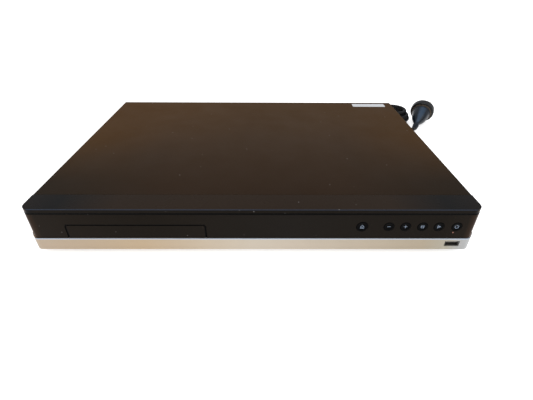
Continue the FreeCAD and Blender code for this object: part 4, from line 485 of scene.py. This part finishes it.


# The cover, black paint with painted reflection of a warm room: a ramp from a darker front to a browner
# back, darker front corners, and warmer rear corners and rear left

FRONT_REFLECTION_SPAN = (-100, 90)
REAR_REFLECTION_SPAN = (110, 500)
COVER = Finish("cover_paint", (0.038, 0.021, 0.010), 0.50, specular=0.04)
COVER.soft_edges(0.0006)
# Painted reflection: the warm room's reflection, as a ramp from front to back, at the corners and at the
# rear left.
COVER.ramp("Y", ((22, (0.024, 0.013, 0.0065)), (150, (0.038, 0.021, 0.010)), (305, (0.055, 0.0262, 0.0065))))
COVER.ends((0.0145, 0.0092, 0.0045), 150, 300, 60, ("Y", *FRONT_REFLECTION_SPAN, 70))
COVER.ends((0.050, 0.0225, 0.0040), 165, 330, 50, ("Y", *REAR_REFLECTION_SPAN, 60))
COVER.patch((0.064, 0.028, 0.0050), ("Y", 200, 400, 90), ("X", -320, -110, 100))
COVER.mottle(4, 0.12).uneven(30, 0.04).grain(1800, 0.00004).dust((0.16, 0.14, 0.12), 0.12)
COVER.specks((0.17, 0.15, 0.13), 16, 0.7)

# The front, with painted shade in lines under the cap, round the door and over the bezel, painted highlights
# along the cap's top edge and the bezel's ledge, and painted reflections: a warm glow at the ends and tones
# along the cap, panel and bezel

SHADE = (0.001, 0.001, 0.001)
SHADE_DEEP = 0.9
DOOR_LEFT = -179.1
DOOR_RIGHT = -45.8
DOOR_TOP = 35.4
DOOR_LINE = 1.6
DOOR_SIDE_LINE = 0.9

CAP = Finish("cap_gloss", (0.023, 0.014, 0.009), 0.28, specular=0.04)
CAP.soft_edges(0.0005)
# Painted reflection: the cap's tone along its length, darker towards the ends, follows the room's
# reflection.
CAP.ramp("X", ((-216, (0.009, 0.007, 0.006)), (-185, (0.006, 0.006, 0.006)), (-130, (0.022, 0.014, 0.009)),
               (130, (0.022, 0.014, 0.009)), (185, (0.006, 0.006, 0.006)), (216, (0.009, 0.007, 0.006))))
# Painted shade: the front face of the cap darker than its top.
CAP.patch((0.0108, 0.0078, 0.0053), ("Y", -1, 0.5), ("X", -205, 205, 3))
# Painted highlight: a thin bluish line along the cap's top front edge.
CAP.patch((0.034, 0.045, 0.070), ("Y", -1, 0.45), ("Z", TOP - 0.55, TOP + 1))
# Painted reflection: a warm glow on the cap's rounded ends.
CAP.ends((0.110, 0.066, 0.044), 211, 215.2, 0.8, ("Z", CAP_BOTTOM + 1, TOP - 0.8))
CAP.patch(SHADE, ("Z", CAP_GAP, CAP_BOTTOM + SHADE_DEEP))
CAP.mottle(12, 0.12).uneven(60, 0.05).grain(2600, 0.000008).dust((0.10, 0.09, 0.08), 0.10)
CAP.specks((0.20, 0.19, 0.18), 14, 0.6)

PANEL = Finish("panel_gloss", (0.0100, 0.0068, 0.0040), 0.22, specular=0.04)
PANEL.soft_edges(0.0004)
# Painted reflection: the panel's tone along its length, lightest near the middle and warmer at the ends,
# follows the room's reflection.
PANEL.ramp("X", ((-216, (0.018, 0.013, 0.009)), (-175, (0.0135, 0.0092, 0.0058)),
                 (-100, (0.0110, 0.0078, 0.0048)), (30, (0.0150, 0.0120, 0.0095)),
                 (180, (0.0100, 0.0070, 0.0042)), (216, (0.016, 0.011, 0.007))))
# Painted reflection: a warm glow on the panel's rounded ends.
PANEL.ends((0.040, 0.023, 0.014), 208, 213, 3, ("Z", 0, 60))
PANEL.ends((0.160, 0.075, 0.034), 212.3, 214.7, 0.5, ("Z", 0, 60))
PANEL.patch(SHADE, ("Z", PANEL_TOP - SHADE_DEEP, CAP_GAP))
PANEL.patch(SHADE, ("X", DOOR_LEFT, DOOR_RIGHT), ("Z", DOOR_TOP, DOOR_TOP + DOOR_LINE))
for edge in (DOOR_LEFT, DOOR_RIGHT):
    PANEL.patch(SHADE, ("X", edge - DOOR_SIDE_LINE, edge + DOOR_SIDE_LINE), ("Z", 20, DOOR_TOP))
PANEL.mottle(12, 0.12).uneven(60, 0.04).grain(2600, 0.000008).dust((0.09, 0.08, 0.07), 0.08)
PANEL.specks((0.16, 0.15, 0.14), 14, 0.5)

SILVER = Finish("silver_paint", (0.56, 0.48, 0.39), 0.38, metallic=0.25)
SILVER.soft_edges(0.0004)
# Painted reflection: the warm beige over most of the bezel and the grey at its right end are the room's
# reflection on silver paint.
SILVER.ramp("X", ((-216, (0.46, 0.36, 0.26)), (-107, (0.510, 0.382, 0.243)), (0, (0.582, 0.508, 0.408)),
                  (32, (0.57, 0.49, 0.39)), (168, (0.434, 0.358, 0.256)), (192, (0.42, 0.385, 0.305)),
                  (205, (0.414, 0.414, 0.404)), (216, (0.46, 0.47, 0.47))))
# Painted highlight: a bluish-white line along the ledge under the panel, where it faces up to the light.
SILVER.patch((0.50, 0.60, 0.74), ("Z", PANEL_BOTTOM - 1.2, PANEL_BOTTOM - 0.2, 0.1), ("Y", -1, 1.5))
# Painted shade: a dark band on the bezel just under the panel, as in a shadow gap.
SILVER.patch((0.01, 0.01, 0.01), ("Z", PANEL_BOTTOM - 0.2, PANEL_BOTTOM + 0.4, 0.1), ("Y", -1, 1.5))
SILVER.mottle(8, 0.06).uneven(50, 0.06).grain(3500, 0.00003, detail=1.0)

# Plain finishes

ZINC = Finish("zinc_sheet", (0.42, 0.43, 0.43), 0.42, metallic=0.9)
ZINC.mottle(60, 0.25).uneven(45, 0.12).grain(1500, 0.00002)
REAR = Finish("rear_paint", (0.030, 0.030, 0.031), 0.50, specular=0.4)
REAR.soft_edges(0.0004).mottle(10, 0.12).uneven(40, 0.06).grain(1600, 0.00005).dust((0.2, 0.2, 0.2), 0.15)
BLACK = Finish("black_plastic", (0.012, 0.012, 0.012), 0.48, specular=0.4)
BLACK.patch(SHADE, ("Z", PANEL_TOP - 1.3, CAP_BOTTOM + 0.7), ("Y", 0, 10))
BLACK.soft_edges(0.0003).mottle(25, 0.2).uneven(80, 0.08).grain(2200, 0.00004)
BUTTON = Finish("button_gloss", (0.0012, 0.0012, 0.0014), 0.16, specular=0.03)
BUTTON.soft_edges(0.0002).mottle(90, 0.2).uneven(200, 0.05).grain(3000, 0.00001)
RUBBER = Finish("foot_rubber", (0.015, 0.015, 0.015), 0.85)
RUBBER.mottle(120, 0.3).uneven(90, 0.08).grain(1800, 0.00008)
SCREW = Finish("screw_black", (0.020, 0.020, 0.021), 0.35, metallic=0.7)
SCREW.mottle(200, 0.3).uneven(300, 0.1).grain(3000, 0.00003)
LABEL = Finish("label_white", (0.56, 0.58, 0.60), 0.45)
LABEL.mottle(40, 0.05).uneven(60, 0.08).grain(2500, 0.00002)
LIGHT = Finish("light_red", (0.24, 0.085, 0.050), 0.25)
LIGHT.mottle(900, 0.3).uneven(900, 0.05).grain(4000, 0.00001)
TRAY = Finish("tray_plastic", (0.022, 0.022, 0.023), 0.40)
TRAY.soft_edges(0.0004).mottle(20, 0.15).uneven(60, 0.08).grain(1900, 0.00003)
STEEL = Finish("bright_steel", (0.62, 0.62, 0.62), 0.22, metallic=1.0)
STEEL.mottle(80, 0.12).uneven(120, 0.08).grain(900, 0.00002, stretch=(0.1, 1, 1))
GEAR = Finish("gear_plastic", (0.62, 0.60, 0.55), 0.42)
GEAR.mottle(90, 0.1).uneven(150, 0.08).grain(2500, 0.00002)
BELT = Finish("belt_rubber", (0.012, 0.012, 0.012), 0.7)
BELT.mottle(150, 0.3).uneven(120, 0.1).grain(3000, 0.00005)
LENS = Finish("lens_glass", (0.05, 0.04, 0.12), 0.05)
LENS.mottle(300, 0.4).uneven(400, 0.03).grain(3000, 0.000004)
CAST = Finish("die_cast", (0.33, 0.34, 0.34), 0.45, metallic=0.85)
CAST.mottle(70, 0.2).uneven(120, 0.1).grain(1500, 0.00006)
DISPLAY = Finish("display_glass", (0.008, 0.010, 0.012), 0.10)
DISPLAY.mottle(60, 0.3).uneven(60, 0.03).grain(2500, 0.000005)
SOCKET_METAL = Finish("socket_metal", (0.60, 0.60, 0.58), 0.28, metallic=1.0)
SOCKET_METAL.mottle(90, 0.2).uneven(150, 0.1).grain(1800, 0.00002)
SOCKET = Finish("socket_plastic", (0.014, 0.014, 0.015), 0.42)
SOCKET.soft_edges(0.0002).mottle(60, 0.2).uneven(150, 0.08).grain(2200, 0.00003)
WIRE = Finish("wire_grey", (0.30, 0.30, 0.31), 0.5)
WIRE.mottle(120, 0.15).uneven(90, 0.08).grain(2200, 0.00003)
CORD_BLACK = Finish("cord_black", (0.0055, 0.0055, 0.0060), 0.50, specular=0.15)
CORD_BLACK.mottle(60, 0.25).uneven(120, 0.08).grain(2500, 0.00005)
PIN = Finish("pin_brass", (0.62, 0.52, 0.34), 0.25, metallic=1.0)
PIN.mottle(150, 0.2).uneven(200, 0.1).grain(2000, 0.00002)

# Green boards with black chips

BOARD = Finish("board_green", (0.018, 0.085, 0.030), 0.42)
BOARD.patch((0.014, 0.014, 0.015), ("Z", BOARD_TOP + 0.05, 50, 0.02), ("Y", 60, 400))
BOARD.mottle(120, 0.35).uneven(200, 0.1).grain(1200, 0.00005)

# Cans with a dark sleeve and a bare top

CAN = Finish("can_aluminium", (0.60, 0.61, 0.62), 0.30, metallic=0.9)
CAN.patch((0.02, 0.025, 0.05), ("Z", 0, 33)).mottle(90, 0.15).uneven(150, 0.08).grain(1500, 0.00002)

# The plug, with other tones for its bell, the ring at its foot, the back of its flange and its flat face;
# the dark back of the flange is painted shade, and a bluish streak along the top of the bell is a painted
# highlight

PLUG_START = (275.5, 321.5, 5.0)
PLUG_AXIS = (0.4830, 0.8200, 0.3072)
# The third row, the dark back of the flange, is painted shade.
PLUG_TONES = ((-2.1, 45.9, (0.0050, 0.0095, 0.0165)), (44.6, 45.9, (0.10, 0.074, 0.050)),
              (45.9, 47.1, (0.004, 0.004, 0.004)), (57.7, 89.9, (0.006, 0.006, 0.006)))
BELL_HIGHLIGHT_FACING = (-0.159, -0.582, 0.797)
BELL_NEAR = (0.008, 0.014)
BELL_FAR = (0.040, 0.044)
PLUG = Finish("plug_black", (0.0095, 0.0100, 0.0110), 0.30, specular=0.24)
plug_reach = PLUG.reach(at(*PLUG_START), PLUG_AXIS)
for low, high, colour in PLUG_TONES:
    PLUG.tint(PLUG.span(plug_reach, low, high, 0.1), colour)
# Painted highlight: a bluish streak on the bell where it faces up towards the lamps.
bell = PLUG.both(PLUG.between(plug_reach, 0, 1, *BELL_NEAR), PLUG.between(plug_reach, 1, 0, *BELL_FAR))
PLUG.tint(PLUG.both(PLUG.facing(BELL_HIGHLIGHT_FACING, 0.88, 0.99), bell), (0.026, 0.052, 0.090))
PLUG.soft_edges(0.0004).mottle(50, 0.2).uneven(120, 0.08).grain(2200, 0.00005)

# Round sockets with coloured rings on a dark body

RING_COLOURS = {-60.0: (0.60, 0.45, 0.03), -74.0: (0.45, 0.02, 0.015), -88.0: (0.62, 0.62, 0.60)}
RING_REACH = 6.0
RCA = Finish("rca_metal", (0.60, 0.60, 0.58), 0.28)
RCA.patch((0.015, 0.015, 0.016), ("Y", 100, REAR_FACE + 0.1))
for x, colour in RING_COLOURS.items():
    RCA.patch(colour, ("X", x - RING_REACH, x + RING_REACH), ("Y", REAR_FACE + 0.1, REAR_FACE + 1.9))
RCA.mottle(90, 0.2).uneven(150, 0.1).grain(1800, 0.00002)

# Speaker terminals with coloured pockets

POCKET_COLOURS = {107: (0.50, 0.50, 0.50), 119: (0.40, 0.02, 0.02), 131: (0.03, 0.25, 0.06),
                  143: (0.03, 0.06, 0.35), 155: (0.12, 0.05, 0.25)}
POCKET_REACH = 4.9
TERMINAL = Finish("terminal_plastic", (0.014, 0.014, 0.015), 0.42)
for x, colour in POCKET_COLOURS.items():
    TERMINAL.patch(colour, ("X", x - POCKET_REACH, x + POCKET_REACH), ("Z", 18, 32),
                   ("Y", REAR_FACE - 8.3, REAR_FACE + 1.1))
TERMINAL.mottle(60, 0.2).uneven(150, 0.08).grain(2200, 0.00003)

# A transformer with a dark core and a yellow coil

CORE_GREY = (0.03, 0.03, 0.032)
CORE_LIMBS = ((43, 50.4), (73.6, 81))
CORE = Finish("wound_core", (0.62, 0.47, 0.08), 0.40)
CORE.tint(CORE.facing((0, 0, 1), 0.48, 0.52), CORE_GREY)
for limb in CORE_LIMBS:
    CORE.patch(CORE_GREY, ("X", *limb), ("Z", 0, 60))
CORE.mottle(60, 0.2).uneven(90, 0.08).grain(900, 0.00005, stretch=(1, 1, 8))

# A dark metal shell with a paler tongue

USB = Finish("usb_metal", (0.060, 0.055, 0.050), 0.40, metallic=0.2)
USB.patch((0.22, 0.20, 0.17), ("Z", 14.3, 16.3), ("Y", 1.5, 15.6))
USB.mottle(120, 0.2).uneven(200, 0.08).grain(2500, 0.00001)

# The print of the signs

PRINT = Finish("button_print", (0.22, 0.28, 0.37), 0.40)
PRINT.mottle(600, 0.3).uneven(500, 0.08).grain(4000, 0.00001)

# Which node wears which finish

OWN_FINISHES = {"rca_sockets": RCA, "speaker_terminals": TERMINAL, "transformer": CORE, "usb_socket": USB}
SLOT_FINISHES = {finish.material.name: finish for finish in (
    COVER, CAP, PANEL, SILVER, ZINC, REAR, BLACK, BUTTON, RUBBER, SCREW, LABEL, LIGHT, TRAY, STEEL,
    GEAR, BELT, LENS, CAST, BOARD, DISPLAY, SOCKET_METAL, SOCKET, CAN, WIRE, CORD_BLACK, PLUG, PIN)}


def finish_for(node, slot):
    """A node's own finish, or else the one of its slot."""
    if node in OWN_FINISHES:
        return OWN_FINISHES[node]
    return SLOT_FINISHES[slot]


for part in frame["record"]["subparts"]:
    dress(part["node"], finish_for(part["node"], part["material_slot"]))
cord.data.materials.append(CORD_BLACK.material)


# Signs on the buttons

BUTTON_Z = 34.5
BUTTON_FRONT = 0.7
BUTTON_DISH = 0.5
BUTTON_RIM = 0.9
PRINT_THICK = 0.06
PRINT_WIDTH = 0.55
PRINT_STEP = 0.35
ARC_STEPS = 14
BUTTONS = {"open": (104.7, 5.5), "volume_down": (130.4, 4.8), "volume_up": (146.4, 4.8),
           "stop": (162.8, 4.8), "play": (178.6, 4.8), "power": (195.9, 4.8)}


def arc(radius, first, last):
    """Places round an arc, with the angles in degrees from straight up."""
    places = []
    for i in range(ARC_STEPS + 1):
        angle = math.radians(first + (last - first) * i / ARC_STEPS)
        places.append((radius * math.sin(angle), radius * math.cos(angle)))
    return places


SIGNS = {
    "open": (((-1.9, -0.6), (0.0, 1.9), (1.9, -0.6), (-1.9, -0.6)), ((-1.9, -1.8), (1.9, -1.8))),
    "volume_down": (((-1.6, 0.0), (1.6, 0.0)),),
    "volume_up": (((-1.6, 0.0), (1.6, 0.0)), ((0.0, -1.6), (0.0, 1.6))),
    "stop": (((-1.3, -1.3), (1.3, -1.3), (1.3, 1.3), (-1.3, 1.3), (-1.3, -1.3)), ((-1.3, 0.0), (1.3, 0.0))),
    "play": (((-1.2, -1.6), (1.7, 0.0), (-1.2, 1.6), (-1.2, -1.6)), ((-1.0, 0.0), (0.9, 0.0))),
    "power": (arc(1.8, 35, 325), ((0.0, 0.5), (0.0, 2.3))),
}


def even_steps(line):
    """The places along a line of straight runs, no further apart than the print's step."""
    places = [line[0]]
    for (ax, az), (bx, bz) in zip(line, line[1:]):
        count = max(1, math.ceil(math.hypot(bx - ax, bz - az) / PRINT_STEP))
        for i in range(1, count + 1):
            places.append((ax + (bx - ax) * i / count, az + (bz - az) * i / count))
    return places


def make_sign(name):
    """The printed lines of a button, laid on its hollow face."""
    x, radius = BUTTONS[name]
    reach = radius - BUTTON_RIM
    ball = (reach ** 2 + BUTTON_DISH ** 2) / (2 * BUTTON_DISH)
    shape = bmesh.new()
    for line in SIGNS[name]:
        places = even_steps(line)
        rows = []
        for i, (u, w) in enumerate(places):
            before = places[max(0, i - 1)]
            after = places[min(len(places) - 1, i + 1)]
            run = Vector((after[0] - before[0], after[1] - before[1]))
            side = Vector((-run.y, run.x)).normalized() * (PRINT_WIDTH / 2)
            row = []
            for half, lift in ((-1, 0), (1, 0), (1, 1), (-1, 1)):
                a = u + half * side.x
                b = w + half * side.y
                depth = BUTTON_FRONT + BUTTON_DISH - ball + math.sqrt(ball ** 2 - a * a - b * b)
                row.append(shape.verts.new(at(x + a, depth - lift * PRINT_THICK, BUTTON_Z + b)))
            rows.append(row)
        for one, two in zip(rows, rows[1:]):
            for k in range(4):
                shape.faces.new((one[k], one[(k + 1) % 4], two[(k + 1) % 4], two[k]))
        shape.faces.new(rows[0][::-1])
        shape.faces.new(rows[-1])
    bmesh.ops.recalc_face_normals(shape, faces=shape.faces)
    mesh = bpy.data.meshes.new(name + "_sign")
    shape.to_mesh(mesh)
    shape.free()
    mesh.materials.append(PRINT.material)
    piece = bpy.data.objects.new(name + "_sign", mesh)
    bpy.context.scene.collection.objects.link(piece)
    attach(piece, name + "_key")


for name in SIGNS:
    make_sign(name)
